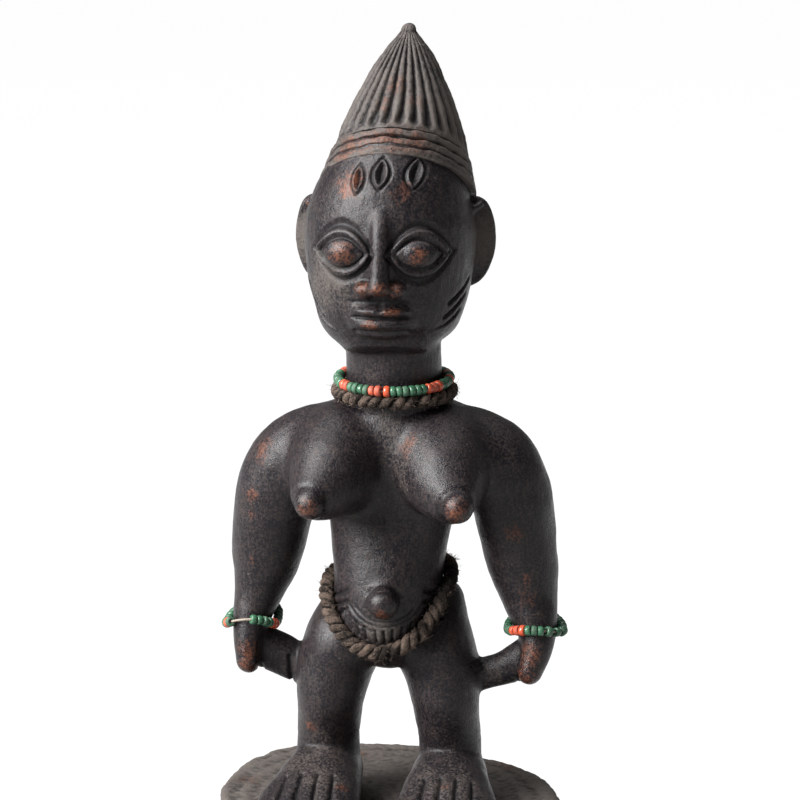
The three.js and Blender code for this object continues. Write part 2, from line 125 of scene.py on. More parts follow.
class IbejiFinish(bpy.types.PropertyGroup):
    """The colours of wood, dust and wear"""

    dark_wood: FloatVectorProperty(
        name="Dark wood", description="The handled surface", default=(0.0052, 0.0046, 0.006), subtype="COLOR"
    )
    brown_wood: FloatVectorProperty(
        name="Brown wood",
        description="Where the dark coat thins",
        default=(0.0215, 0.0158, 0.0152),
        subtype="COLOR",
    )
    worn_wood: FloatVectorProperty(
        name="Worn wood",
        description="Where hands rubbed through",
        default=(0.07, 0.024, 0.012),
        subtype="COLOR",
    )
    dust: FloatVectorProperty(
        name="Dust", description="Dry dust and old powder", default=(0.062, 0.053, 0.047), subtype="COLOR"
    )


class IbejiTrim(bpy.types.PropertyGroup):
    """The cords and beads"""

    neck_cord: FloatProperty(name="Neck cord", description="Diameter", default=5.1 * MM, unit="LENGTH")
    neck_lay: FloatProperty(
        name="Neck lay", description="Length of one twist", default=7.4 * MM, unit="LENGTH"
    )
    waist_cord: FloatProperty(name="Waist cord", description="Diameter", default=5.4 * MM, unit="LENGTH")
    waist_lay: FloatProperty(
        name="Waist lay", description="Length of one twist", default=6.8 * MM, unit="LENGTH"
    )
    bead: FloatProperty(name="Bead", description="Diameter of a bead", default=3.4 * MM, unit="LENGTH")
    thread: FloatProperty(
        name="Thread", description="Diameter of the thread", default=0.8 * MM, unit="LENGTH"
    )
    fibre: FloatVectorProperty(
        name="Fibre", description="Colour of the cords", default=(0.03, 0.0215, 0.017), subtype="COLOR"
    )
    green: FloatVectorProperty(
        name="Green bead",
        description="Colour of most beads",
        default=(0.019, 0.076, 0.038),
        subtype="COLOR",
    )
    orange: FloatVectorProperty(
        name="Orange bead",
        description="Colour of the other beads",
        default=(0.36, 0.047, 0.016),
        subtype="COLOR",
    )


class IbejiStage(bpy.types.PropertyGroup):
    """Where the camera stands and how bright the lights and the room are"""

    distance: FloatProperty(
        name="Distance", description="From the figure's axis", default=1100 * MM, unit="LENGTH"
    )
    height: FloatProperty(
        name="Camera height", description="Above the floor", default=393.75 * MM, unit="LENGTH"
    )
    azimuth: FloatProperty(
        name="Round", description="Camera's place round the figure", default=math.radians(7), subtype="ANGLE"
    )
    pitch: FloatProperty(
        name="Down", description="How far it looks down", default=math.radians(12), subtype="ANGLE"
    )
    aside: FloatProperty(
        name="Aside",
        description="How far it looks past the axis",
        default=math.radians(0.234),
        subtype="ANGLE",
    )
    lens: FloatProperty(name="Lens", description="Focal length in millimetres", default=154.2)
    key: FloatProperty(
        name="Key light", description="Power of the large soft light", default=89, unit="POWER"
    )
    top: FloatProperty(
        name="Top light", description="Power of the light overhead", default=16, unit="POWER"
    )
    room: FloatProperty(name="Room", description="Brightness of the grey surroundings", default=0.18)
    paper: FloatProperty(name="Paper", description="Brightness of the white floor", default=0.975)


# Objects and meshes


def added(name, data):
    """A new object with this data, linked into the scene"""
    made = bpy.data.objects.new(name, data)
    bpy.context.collection.objects.link(made)
    return made


def shown(rough):
    """The mesh that an object shows with its modifier or its bevel worked out. The object is removed."""
    mesh = bpy.data.meshes.new_from_object(rough.evaluated_get(bpy.context.evaluated_depsgraph_get()))
    bpy.data.objects.remove(rough)
    return mesh


def mesh_of(name, form):
    """A mesh made of a bmesh, which is then freed"""
    mesh = bpy.data.meshes.new(name)
    form.to_mesh(mesh)
    form.free()
    return mesh


def pour(mesh, whole):
    """Adds a mesh to a bmesh, and removes the mesh"""
    whole.from_mesh(mesh)
    bpy.data.meshes.remove(mesh)


def turned(form, section, steps):
    """Spins a section once round the upright axis"""
    bmesh.ops.spin(
        form,
        geom=section,
        cent=(0, 0, 0),
        axis=(0, 0, 1),
        angle=2 * math.pi,
        steps=steps,
        use_merge=True,
    )


def piece_of(name, mesh, materials, node):
    """Makes a piece that rides on the only body and stands for a CAD node"""
    mesh.name = name
    mesh.shade_smooth()
    piece = added(name, mesh)
    for material in materials:
        piece.data.materials.append(material)
    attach(piece, ONLY_BODY)
    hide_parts(node)


# Forms: every one is a sphere whose points are moved, in hundredths of the figure's height


def spline(points, shares):
    """Points on a smooth curve through the given ones, at shares of its whole run."""
    points = np.asarray(points, float)
    padded = np.vstack([2 * points[0] - points[1], points, 2 * points[-1] - points[-2]])
    at = np.clip(shares, 0, 1) * (len(points) - 1)
    low = np.minimum(at.astype(int), len(points) - 2)
    rest = (at - low)[:, None]
    a, b, c, d = padded[low], padded[low + 1], padded[low + 2], padded[low + 3]
    return b + 0.5 * rest * (c - a + rest * (2 * a - 5 * b + 4 * c - d + rest * (3 * (b - c) + d - a)))


def unit(vectors):
    return vectors / np.maximum(np.linalg.norm(vectors, axis=-1, keepdims=True), 1e-9)


def sphere(around, along):
    form = bmesh.new()
    bmesh.ops.create_uvsphere(form, u_segments=around, v_segments=along, radius=1)
    return form


def points_of(form):
    return np.array([vert.co[:] for vert in form.verts])


def move_points(form, points):
    for vert, point in zip(form.verts, points):
        vert.co = point


def swept(stations, domes=(1, 1), back=BACKWARDS, around=48, along=60, cap=0.12, relief=None, floor=None):
    """A body through oval sections [x, y, z, wide, deep] closed by domes.

    A sixth number in a station is the section's own tilt in degrees, raised at the front. Where there is
    none, back is the way that its depth runs. cap is the share of the rows that goes into each dome, relief
    gives the radius's scale at an angle and a share of the run, and no point lies below floor."""
    stations = np.asarray(stations, float)
    form = sphere(around, along)
    ball = points_of(form)
    latitude = np.arccos(np.clip(-ball[:, 2], -1, 1)) / math.pi
    angle = np.arctan2(ball[:, 1], ball[:, 0])
    share = np.clip((latitude - cap) / (1 - 2 * cap), 0, 1)
    rise = np.maximum(1 - latitude / cap, 0) + np.maximum((latitude - 1 + cap) / cap, 0)
    rise = rise * math.pi / 2
    dome = np.where(latitude < 0.5, -domes[0], domes[1]) * np.sin(rise)
    middle = spline(stations[:, :3], share)
    size = spline(stations[:, 3:5], share) * np.cos(rise)[:, None]
    step = 0.01
    tangent = unit(spline(stations[:, :3], share + step) - spline(stations[:, :3], share - step))
    if stations.shape[1] > 5:
        tilt = np.radians(np.interp(share, np.linspace(0, 1, len(stations)), stations[:, 5]))
        wide = np.broadcast_to(RIGHTWARDS, tangent.shape)
        deep = np.stack([np.zeros_like(tilt), np.cos(tilt), -np.sin(tilt)], axis=1)
    else:
        wide = unit(np.cross(back, tangent))
        deep = np.cross(tangent, wide)
    if relief is not None:
        size = size * relief(angle, share)[:, None]
    points = middle + tangent * dome[:, None]
    points = points + wide * (np.cos(angle) * size[:, 0])[:, None]
    points = points + deep * (np.sin(angle) * size[:, 1])[:, None]
    if floor is not None:
        points[:, 2] = np.maximum(points[:, 2], floor)
    move_points(form, points)
    return form


def knob(place, sizes, turn=0, around=36, along=24):
    """An ellipsoid, turned about the upright axis by degrees."""
    form = sphere(around, along)
    matrix = Matrix.Translation(place) @ Matrix.Rotation(math.radians(turn), 4, "Z")
    matrix = matrix @ Matrix.Diagonal((*sizes, 1))
    bmesh.ops.transform(form, matrix=matrix, verts=form.verts)
    return form


def on_side(stations, side, middle):
    """Sections given across from a middle, set to one side of it"""
    return [[middle + side * x, *rest] for x, *rest in stations]


class Block:
    """Overlapping forms fused into one skin, which is then blended, cut and measured."""

    NORMALS_KEPT = 8  # rounds of blending between two readings of the normals
    LIFT = 0.9  # share of a crease's depth that one round fills

    def __init__(self, name, forms):
        self.name = name
        whole = bmesh.new()
        for form in forms:
            pour(mesh_of("form", form), whole)
        self.take(mesh_of(name, whole))

    def fuse(self, facet):
        """Joins the overlapping forms into one skin of facets of this size"""
        return self.take(self.changed("REMESH", mode="VOXEL", voxel_size=facet / PART))

    def thin(self, most):
        """Merges facets where the surface is plainest, until there are no more triangles than this"""
        triangles = len(self.mesh.loops) - 2 * len(self.mesh.polygons)
        if triangles > most:
            self.normals()
            self.take(self.changed("DECIMATE", ratio=most / triangles))

    def changed(self, kind, **settings):
        """The mesh as a modifier would make it"""
        rough = added(self.name, self.mesh)
        modifier = rough.modifiers.new("change", kind)
        for name, value in settings.items():
            setattr(modifier, name, value)
        return shown(rough)

    def take(self, skin):
        """Makes this mesh the block's own, with its points and edges at hand as arrays"""
        self.mesh = skin
        count = len(skin.vertices)
        self.points = np.empty(count * 3)
        skin.vertices.foreach_get("co", self.points)
        self.points = self.points.reshape(-1, 3)
        edges = np.empty(len(skin.edges) * 2, int)
        skin.edges.foreach_get("vertices", edges)
        self.near, self.far = edges.reshape(-1, 2).T
        self.valence = np.bincount(self.near, minlength=count) + np.bincount(self.far, minlength=count)
        return self

    def normals(self):
        """Puts the points back into the mesh, and gives the normal at each"""
        self.mesh.vertices.foreach_set("co", self.points.ravel())
        self.mesh.update()
        found = np.empty(len(self.points) * 3)
        self.mesh.vertex_normals.foreach_get("vector", found)
        return found.reshape(-1, 3)

    def around(self, values):
        """Each point's mean of its neighbours' values."""
        count = len(values)
        columns = values.reshape(count, -1).T
        total = [
            np.bincount(self.near, column[self.far], count) + np.bincount(self.far, column[self.near], count)
            for column in columns
        ]
        return (np.array(total) / self.valence).T.reshape(values.shape)

    def soften(self, rounds, where=1.0):
        """Draws each point half way to its neighbours, as far as where says"""
        pull = np.reshape(0.5 * where, (-1, 1))
        for _ in range(rounds):
            self.points += pull * (self.around(self.points) - self.points)

    def blend(self, rounds, where=None):
        """Fills the creases where forms meet, and leaves what stands out alone."""
        for turn in range(rounds):
            if turn % self.NORMALS_KEPT == 0:
                normals = self.normals()
            lift = np.einsum("ij,ij->i", self.around(self.points) - self.points, normals)
            lift = np.clip(lift, 0, None) * self.LIFT
            if where is not None:
                lift = lift * where
            self.points += normals * lift[:, None]

    def cut(self, depth):
        """Takes wood off along the surface's normal: depth is in parts, and less than nothing adds wood."""
        self.points -= self.normals() * depth[:, None]

    def hollowness(self, rounds, full):
        """How far each point lies below its surroundings, as a share of a full hollow."""
        smooth = self.points
        for _ in range(rounds):
            smooth = smooth + 0.6 * (self.around(smooth) - smooth)
        return np.einsum("ij,ij->i", smooth - self.points, self.normals()) / full

    def paint_mask(self, name, values):
        """Stores a number at each point, for the material to read"""
        mask = self.mesh.attributes.new(name, "FLOAT", "POINT")
        mask.data.foreach_set("value", values.astype(np.float32))

    def finish(self):
        """Sets the block on the base in metres, and makes it one of the pieces that stand for the figure."""
        self.points = self.points * PART + np.array([0, 0, BASE_THICKNESS])
        self.normals()
        piece_of(self.name, self.mesh, [aged_carved_wood()], "figure")


# Cuts: each gives a depth in parts at every point


def hump(distance, width):
    """1 in the middle, easing to 0 at the width."""
    return np.clip(1 - (distance / width) ** 2, 0, None) ** 2


def vee(distance, width):
    """1 in the middle, falling evenly to 0 at the width."""
    return np.clip(1 - np.abs(distance) / width, 0, None)


def rise_between(values, low, high):
    """0 up to low and 1 from high on, easing between."""
    share = np.clip((values - low) / (high - low), 0, 1)
    return share * share * (3 - 2 * share)


def from_stroke(points, start, end, seen=(0, 2)):
    """Distance from a straight stroke, as seen along the axis left out."""
    flat = points[:, seen]
    start, end = np.array(start), np.array(end)
    run = end - start
    share = np.clip((flat - start) @ run / (run @ run), 0, 1)
    return np.linalg.norm(flat - start - share[:, None] * run, axis=1), share


def pointed_oval(across, up, wide, high):
    """1 on the outline of an upright pointed oval, less inside it."""
    return np.abs(across) / wide + (up / high) ** 2


# Head and hair

CHIN = 59.6
SKULL_TOP = 87.2
HAIR_TIP = 100


def head_at(share):
    """Height of a share of the head, from chin to skull"""
    return CHIN + (SKULL_TOP - CHIN) * share


HAIR_FOOT = head_at(0.87)


def hair_at(share):
    """Height of a share of the crest, from its foot to its tip"""
    return HAIR_FOOT + (HAIR_TIP - HAIR_FOOT) * share


HEAD = [
    [FACE_MIDDLE - 0.2, -3.4, head_at(0.015), 5.4, 5.2],
    [FACE_MIDDLE - 0.2, -2.6, head_at(0.11), 8.3, 7.9],
    [FACE_MIDDLE, -1.7, head_at(0.25), 9.8, 9.6],
    [FACE_MIDDLE, -0.8, head_at(0.41), 10.6, 10.8],
    [FACE_MIDDLE, 0.0, head_at(0.575), 10.7, 11.2],
    [FACE_MIDDLE + 0.4, 0.8, head_at(0.74), 9.5, 10.7],
    [FACE_MIDDLE + 0.9, 1.6, head_at(0.9), 7.7, 9.0],
]
NECK = [
    [CHEST_MIDDLE, 0.8, 49, 6.4, 6.3],
    [CHEST_MIDDLE, 0.4, 57, 6.05, 6.0],
    [FACE_MIDDLE, 0.0, 66, 6.3, 6.3],
]
HAIR = [
    [1.2, 2.25, head_at(0.712), 9.8, 11.6, 31.5],
    [1.5, 3.15, hair_at(-0.03), 8.6, 10.4, 30],
    [1.75, 3.35, hair_at(0.21), 7.6, 8.7, 22],
    [1.95, 3.5, hair_at(0.465), 5.95, 6.4, 12],
    [2.17, 4.05, hair_at(0.75), 3.5, 3.75, 5],
    [2.32, 4.5, hair_at(0.952), 0.95, 1.0, 0],
]
BANDS_END = 0.2  # shares of the hair's whole run
FLUTES_START = 0.215
EYE_HEIGHT = head_at(0.5)
BROW = head_at(0.62)
NOSE_BASE = (CHIN + BROW) / 2
MOUTH = NOSE_BASE - (NOSE_BASE - CHIN) / 3
EYE_ACROSS = 4.8
EYE_TURN = 24  # degrees, to follow the round of the face
# place across, half width, half height and how far the mark sits below the others
FOREHEAD_MARKS = [(-3.0, 0.7, 1.65, 0.75), (-0.1, 0.95, 1.75, 0), (4.05, 1.0, 1.75, 0)]
MARK_HEIGHT = head_at(0.848)


class Face:
    """Where things go on the bare head, by place across from the middle and height."""

    def __init__(self):
        form = swept(HEAD, domes=(0.9, 3))
        self.skin = BVHTree.FromBMesh(form)
        form.free()

    def front(self, across, height):
        """How far forward the skin lies"""
        hit = self.skin.ray_cast(Vector((FACE_MIDDLE + across, -100, height)), Vector((0, 1, 0)))[0]
        return hit.y

    def at(self, across, height, forward=0.0):
        """The point on the skin, or this much in front of it"""
        return (FACE_MIDDLE + across, self.front(across, height) - forward, height)


def face_forms(face):
    """Lids and eyeballs, the wings and ridge of the nose, the muzzle and two lips"""
    forms = []
    for side in SIDES:
        across = side * EYE_ACROSS
        forms.append(knob(face.at(across, EYE_HEIGHT), (3.5, 0.85, 2.7), side * EYE_TURN))
        forms.append(knob(face.at(across, EYE_HEIGHT), (2.55, 1.75, 2.0), side * EYE_TURN))
        forms.append(knob(face.at(side * 1.95, NOSE_BASE + 0.75, 0.5), (1.35, 1.3, 1.0)))
    tip = face.front(0, NOSE_BASE)
    forms.append(
        swept(
            [
                [FACE_MIDDLE, face.front(0, BROW + 2.5) + 1.1, BROW + 2.5, 1.7, 0.9],
                [FACE_MIDDLE, face.front(0, BROW) - 0.1, BROW - 1, 1.15, 1.1],
                [FACE_MIDDLE, tip - 1.0, NOSE_BASE + 3, 1.2, 1.5],
                [FACE_MIDDLE, tip - 1.4, NOSE_BASE + 1, 1.5, 1.7],
            ],
            domes=(0.6, 0.9),
        )
    )
    forms.append(knob(face.at(0, MOUTH, -2.2), (4.9, 2.9, 3.1)))
    for rise in (0.85, -0.85):
        forms.append(knob(face.at(0, MOUTH + rise, -0.7), (3.8, 2.1, 0.8)))
    return forms


EAR_HEIGHT = head_at(0.485)
EAR_EDGES = [  # the rim, the flap folded over its front and the front edge, across from the ear's root
    [
        [-0.9, 2.0, EAR_HEIGHT + 4.9, 0.4, 0.4],
        [0.6, 2.2, EAR_HEIGHT + 5.45, 0.4, 0.4],
        [2.2, 2.4, EAR_HEIGHT + 4.7, 0.4, 0.4],
        [3.2, 2.5, EAR_HEIGHT + 1.8, 0.3, 0.4],
        [3.05, 2.5, EAR_HEIGHT - 1.6, 0.3, 0.4],
        [1.75, 2.3, EAR_HEIGHT - 4.5, 0.3, 0.4],
        [-0.3, 2.0, EAR_HEIGHT - 5.6, 0.4, 0.4],
    ],
    [
        [1.7, 1.3, EAR_HEIGHT + 4.9, 0.5, 0.6],
        [0.4, 0.5, EAR_HEIGHT + 3.9, 0.6, 1.0],
        [-0.7, 0.0, EAR_HEIGHT + 2.4, 0.5, 0.9],
    ],
    [
        [-0.7, 0.1, EAR_HEIGHT + 2.4, 0.4, 0.7],
        [-0.2, 0.3, EAR_HEIGHT - 0.6, 0.35, 0.6],
        [-0.7, 0.2, EAR_HEIGHT - 3.4, 0.4, 0.7],
    ],
]


def ear_forms(side):
    """A thin upright shell, broadest near its flat top, and the raised edges along it"""
    root = FACE_MIDDLE + 0.3 + side * 9.2
    shell = knob((root + side * 0.5, 2.3, EAR_HEIGHT), (2.95, 0.75, 5.4), side * 6)
    edges = [swept(on_side(edge, side, root), domes=(0.4, 0.4), around=20) for edge in EAR_EDGES]
    return [shell, *edges]


def hair_form(settings):
    """Bands along the hairline, a plain strip, then flutes that narrow and run together at the tip"""
    reach = np.linspace(0, 1, len(HAIR))
    widths = [station[3] for station in HAIR]
    bands = settings.hair_bands
    ridges = settings.hair_ridges

    def relief(angle, share):
        radius = np.interp(share, reach, widths)
        unsteady = 0.07 * np.sin(angle * 9 + 1) + 0.05 * np.sin(angle * 23 + share * 40)
        phase = share / BANDS_END * bands + unsteady
        on_bands = 1 - rise_between(share, BANDS_END, BANDS_END + 0.008)
        groove = vee(np.abs(phase - np.round(phase)), 0.2) * (phase > 0.5)
        depth = on_bands * (0.4 * groove - 0.22 + 0.5 * np.abs((phase % 1) - 0.5) ** 2)
        # the flutes are counted round the crest, and every other one runs out before the tip
        turn = angle / (2 * math.pi) * ridges + 0.05 * np.sin(share * 9 + 2 * np.sin(angle * 2))
        count = np.floor(turn)
        from_flute = 2 * np.abs(turn - count - 0.5)
        half = 0.36 + 0.14 * rise_between(share, FLUTES_START, 0.29) - 0.16 * rise_between(share, 0.28, 0.46)
        inside = np.clip(1 - (from_flute / half) ** 2, 0, None)
        flank = np.clip((1 - from_flute) / (1 - half), 0, 1)
        onset = share - FLUTES_START - 0.014 * (1 - inside) - 0.006 * np.sin(count * 5)
        onset = rise_between(onset, 0, 0.085)
        spacing = 2 * math.pi * radius / ridges
        merging = 1 - (count % 2) * rise_between(share, 0.93, 0.97)
        full = 0.16 + 0.16 * rise_between(share, 0.24, 0.4) + 0.04 * np.sin(count * 3 + share * 20)
        deep = np.minimum(full, 0.4 * spacing) * merging
        depth = depth + onset * (deep * inside ** 0.8 + 0.15 * spacing * flank ** 2 - 0.03)
        return 1 - depth / radius

    return swept(HAIR, domes=(0.2, 1), around=ridges * 12, along=270, cap=0.03, relief=relief)


def forehead_cuts(points):
    """Three pointed ovals, each a groove round a raised rim, with a sunken middle and a slit in it"""
    depth = np.zeros(len(points))
    in_front = points[:, 1] < -2
    for across, wide, high, lower in FOREHEAD_MARKS:
        up = points[:, 2] - MARK_HEIGHT + lower
        lean = points[:, 0] - FACE_MIDDLE - across - 0.12 * up
        q = pointed_oval(lean, up, wide, high)
        slit = vee(lean, 0.2) * (np.abs(up) < high * 0.6)
        groove = 0.3 * vee(q - 1.2, 0.36) - 0.24 * hump(q - 0.85, 0.28)
        depth += in_front * (groove + 0.4 * hump(q, 0.7) + 0.2 * slit)
    return depth


def cheek_cuts(points):
    """Three slanting strokes on each cheek, deepest in their middles"""
    depth = np.zeros(len(points))
    for side in SIDES:
        here = (points[:, 0] - FACE_MIDDLE) * side > 5
        for i in range(3):
            start = (-6.9 - 0.2 * i, 66.4 - 1.75 * i)
            end = (-2.4 - 0.7 * i, 69.4 - 1.95 * i)
            distance, share = from_stroke(points, start, end, seen=(1, 2))
            depth += here * 0.6 * vee(distance, 0.36) * np.sqrt(np.clip(4.4 * share * (1 - share), 0, 1))
    return depth


def eye_cuts(points):
    """Lids as a raised rim along an almond, with a groove outside it"""
    depth = np.zeros(len(points))
    in_front = points[:, 1] < -3
    for side in SIDES:
        across = (points[:, 0] - FACE_MIDDLE - side * EYE_ACROSS) / math.cos(math.radians(EYE_TURN))
        up = points[:, 2] - EYE_HEIGHT
        q = pointed_oval(up, across, 2.35, 3.55)
        lid = 0.3 * vee(q - 1.5, 0.3) - 0.34 * hump(q - 1.12, 0.28) + 0.34 * vee(q - 0.84, 0.14)
        depth += in_front * lid
    return depth


def lip_cuts(points):
    """The parting of the lips, the lines over and under them and the hollow below the nose"""
    across = np.abs(points[:, 0] - FACE_MIDDLE)
    up = points[:, 2] - MOUTH
    near = (points[:, 1] < -7) * rise_between(3.9 - across, 0, 0.7)
    parting = 0.5 * vee(up, 0.3)
    under = 0.3 * vee(up + 1.95, 0.45)
    over = 0.25 * vee(up - 1.95, 0.45)
    philtrum = 0.25 * hump(np.hypot(across, (up - 1.3) * 0.8), 0.7)
    return near * (parting + under + over + philtrum)


# Trunk and limbs

TRUNK = [
    [0.3, 2.0, 20.9, 5.6, 5.6],
    [0.3, 1.0, 22.7, 5.2, 6.7],
    [0.15, 0.6, 24.5, 6.3, 8.3],
    [0.1, 0.5, 26.6, 6.8, 8.6],
    [0.25, 0.3, 30.0, 7.0, 7.7],
    [0.35, 0.5, 34.0, 7.5, 6.7],
    [0.6, 0.9, 39.0, 8.4, 6.5],
    [0.8, 1.1, 44.0, 10.6, 6.6],
    [0.95, 1.1, 48.0, 11.0, 6.5],
    [0.95, 0.9, 50.9, 9.8, 6.4],
]
BREASTBONE = [
    [CHEST_MIDDLE, -0.6, 51.4, 5.6, 4.9],
    [CHEST_MIDDLE, -1.0, 48.4, 5.6, 5.2],
    [CHEST_MIDDLE, -1.0, 44.5, 5.0, 5.0],
]
BREAST = [  # across from the middle of her chest, as the arms and palms are
    [5.7, 1.0, 47.0, 7.0, 6.0],
    [6.3, -2.6, 45.8, 6.6, 6.5],
    [7.3, -6.4, 44.2, 5.6, 5.8],
    [8.2, -9.4, 42.9, 4.2, 4.3],
    [9.0, -11.4, 42.1, 3.0, 3.0],
]
ARMS = {
    -1: [
        [3.0, 1.0, 46.3, 5.2, 5.5],
        [8.0, 1.0, 46.5, 5.45, 5.9],
        [12.4, 1.3, 44.7, 5.7, 5.9],
        [14.9, 1.7, 41.1, 5.45, 5.6],
        [15.85, 2.0, 37.6, 5.15, 5.4],
        [16.5, 2.4, 33.8, 4.85, 5.1],
        [17.1, 2.5, 30.2, 4.3, 4.75],
        [17.85, 1.9, 26.9, 3.35, 4.1],
        [18.55, 0.6, 23.7, 2.5, 3.2],
        [18.85, -0.7, 20.9, 2.0, 2.5],
        [18.7, -1.6, 18.2, 1.6, 2.0],
    ],
    1: [
        [3.0, 1.0, 46.4, 5.25, 5.5],
        [8.0, 1.0, 46.6, 5.5, 5.9],
        [12.3, 1.3, 44.8, 5.7, 5.9],
        [14.6, 1.7, 41.1, 5.4, 5.6],
        [15.4, 2.0, 37.6, 5.1, 5.4],
        [15.95, 2.4, 33.8, 4.8, 5.1],
        [16.65, 2.5, 30.2, 4.4, 4.75],
        [17.4, 1.9, 26.9, 3.65, 4.1],
        [18.3, 0.6, 23.7, 2.8, 3.2],
        [18.6, -0.7, 20.9, 2.1, 2.5],
        [17.75, -1.6, 17.9, 1.6, 2.0],
    ],
}
PALMS = {
    -1: [
        [18.0, 0.6, 19.9, 2.8, 2.0],
        [15.0, 1.2, 18.4, 2.8, 1.9],
        [12.4, 1.4, 17.0, 2.5, 1.85],
        [8.5, 1.4, 15.4, 2.3, 1.8],
    ],
    1: [
        [17.6, 0.6, 19.2, 2.8, 2.0],
        [14.0, 1.3, 17.35, 2.2, 1.9],
        [11.4, 1.4, 16.5, 2.1, 1.85],
        [8.5, 1.4, 15.5, 2.0, 1.8],
    ],
}
# across from the middle of her hips
HIPS = {-1: [4.3, 3.0, 24.8, 4.4, 4.3], 1: [4.9, 3.0, 25.6, 4.7, 4.3]}
LEG = [
    [5.6, 1.4, 21.2, 5.15, 6.5],
    [6.8, 0.7, 17.6, 4.95, 6.1],
    [7.4, 0.0, 14.2, 4.5, 5.2],
    [7.65, 0.5, 11.3, 4.15, 4.8],
    [7.95, 1.1, 8.0, 4.05, 4.4],
    [8.0, 1.3, 4.0, 4.1, 4.3],
]
FOOT = [
    [8.0, 4.2, 2.6, 3.8, 3.2],
    [8.1, 1.0, 3.3, 4.7, 4.0],
    [8.2, -3.0, 3.3, 5.2, 4.0],
    [8.5, -7.5, 2.8, 6.0, 3.3],
    [8.9, -12.0, 2.2, 6.6, 2.6],
    [9.1, -15.6, 1.5, 6.4, 1.9],
]
FOOT_SUNK = -0.8
NAVEL = (0.6, -8.4, 28.35)
NIPPLES = [(CHEST_MIDDLE - 8.95, -12.7, 42.0), (CHEST_MIDDLE + 9.5, -12.7, 42.0)]
TOES = 5


def body_forms():
    """Trunk, breastbone and navel, and on each side breast, arm, palm, leg, buttock and foot"""
    forms = [swept(TRUNK, domes=(1.3, 2.3)), swept(BREASTBONE, domes=(2, 1.4)), knob(NAVEL, (2.1, 2.4, 2.1))]
    for side in SIDES:
        forms.append(swept(on_side(BREAST, side, CHEST_MIDDLE), domes=(1, 1.2), back=UPWARDS))
        forms.append(knob(NIPPLES[side > 0], (2.1, 2.3, 2.1)))
        forms.append(swept(on_side(ARMS[side], side, CHEST_MIDDLE), domes=(1, 1.7), along=80))
        forms.append(swept(on_side(PALMS[side], side, CHEST_MIDDLE), domes=(0.8, 0.8)))
        forms.append(swept(on_side([HIPS[side], *LEG], side, HIP_MIDDLE), domes=(3.4, 0.5)))
        forms.append(knob((HIP_MIDDLE + side * 3.7, 5.4, 22.4), (4.2, 4.4, 4.8)))
        foot = on_side(FOOT, side, HIP_MIDDLE)
        forms.append(swept(foot, domes=(1.2, 1.6), back=UPWARDS, floor=FOOT_SUNK))
    return forms


def blended_places(points):
    """1 where forms run softly into each other, less where the carver left a crisp edge"""
    low = rise_between(points[:, 2], 24, 31)
    hands = nearness(points, [[-17, 0, 18, 3.5], [18, 0, 18, 3.5]])
    tips = nearness(points, [[*place, 2.6] for place in NIPPLES] + [[*NAVEL, 1.7]])
    return (0.35 + 0.65 * low) * (1 - 0.5 * hands) * (1 - 0.9 * tips)


def chest_places(points):
    """1 on the breasts and shoulders, where everything runs together softly, but for the nipples"""
    tips = nearness(points, [[*place, 3.6] for place in NIPPLES])
    return rise_between(points[:, 2], 38, 42) * (1 - np.minimum(1.6 * tips, 1))


FLANK_STROKES = [  # the ends of each, as place across and height
    ((-6.5, 27.4), (-4.5, 29.0)),
    ((-6.4, 26.2), (-4.4, 27.6)),
    ((-6.2, 25.1), (-4.5, 26.6)),
]
BELLY_TICKS = [-4.5, -3.6, -2.7, -1.7, -0.4, 0.6, 1.6, 2.7, 3.7]  # places across


def belly_cuts(points):
    """Curved lines under the navel, a row of upright ticks below them and slanting strokes at the flanks"""
    in_front = points[:, 1] < -1
    across = points[:, 0] - NAVEL[0]
    up = points[:, 2] - NAVEL[2]
    over_navel = rise_between(up, 0.1, 1.2) * 0.35 * vee(np.hypot(across, 1.15 * up) - 2.15, 0.4)
    arc = np.hypot(0.86 * across, up - 1.1)
    low = rise_between(1.1 - up, 1.6, 2.6)
    depth = over_navel + low * (0.15 * vee(arc - 3.85, 0.24) + 0.2 * vee(arc - 4.5, 0.24))
    depth += low * (across < -1.4) * 0.2 * vee(arc - 5.3, 0.24)
    for x in BELLY_TICKS:
        foot = 22.7 + 0.08 * (x - NAVEL[0]) ** 2
        distance, _ = from_stroke(points, (x, foot), (x + 0.12 * (x - NAVEL[0]), foot + 1.6))
        depth += 0.34 * vee(distance, 0.3)
    for side in SIDES:
        for start, end in FLANK_STROKES:
            ends = [(NAVEL[0] + side * (NAVEL[0] - x), z) for x, z in (start, end)]
            distance, _ = from_stroke(points, *ends)
            depth += 0.4 * vee(distance, 0.4)
    return in_front * depth


def breast_cuts(points):
    """A groove round each nipple"""
    depth = np.zeros(len(points))
    for x, _, z in NIPPLES:
        out = np.hypot(points[:, 0] - x, points[:, 2] - z)
        depth += (points[:, 1] < -8) * 0.1 * vee(out - 2.3, 0.5)
    return depth


def foot_cuts(points):
    """Grooves that fan out from the instep, and a faint line round each ankle"""
    depth = np.zeros(len(points))
    low = (points[:, 2] < 9) * (points[:, 2] > 0.1)
    for side in SIDES:
        here = low * ((points[:, 0] - HIP_MIDDLE) * side > 0)
        for i in range(TOES - 1):
            share = (i + 1.15) / (TOES + 0.15) - 0.5
            tip = (HIP_MIDDLE + side * (8.95 + 13.0 * share), -19.0)
            root = (HIP_MIDDLE + side * (8.75 + 10.4 * share), -9.2)
            distance, run = from_stroke(points, root, tip, seen=(0, 1))
            depth += here * (0.3 + 0.5 * run) * (vee(distance, 0.36) + 0.3 * hump(distance, 0.8))
        ankle = np.abs(points[:, 2] - 7.7 - 0.12 * (points[:, 1] + 3))
        depth += here * (points[:, 1] < 2.5) * 0.04 * vee(ankle, 0.35)
    return depth


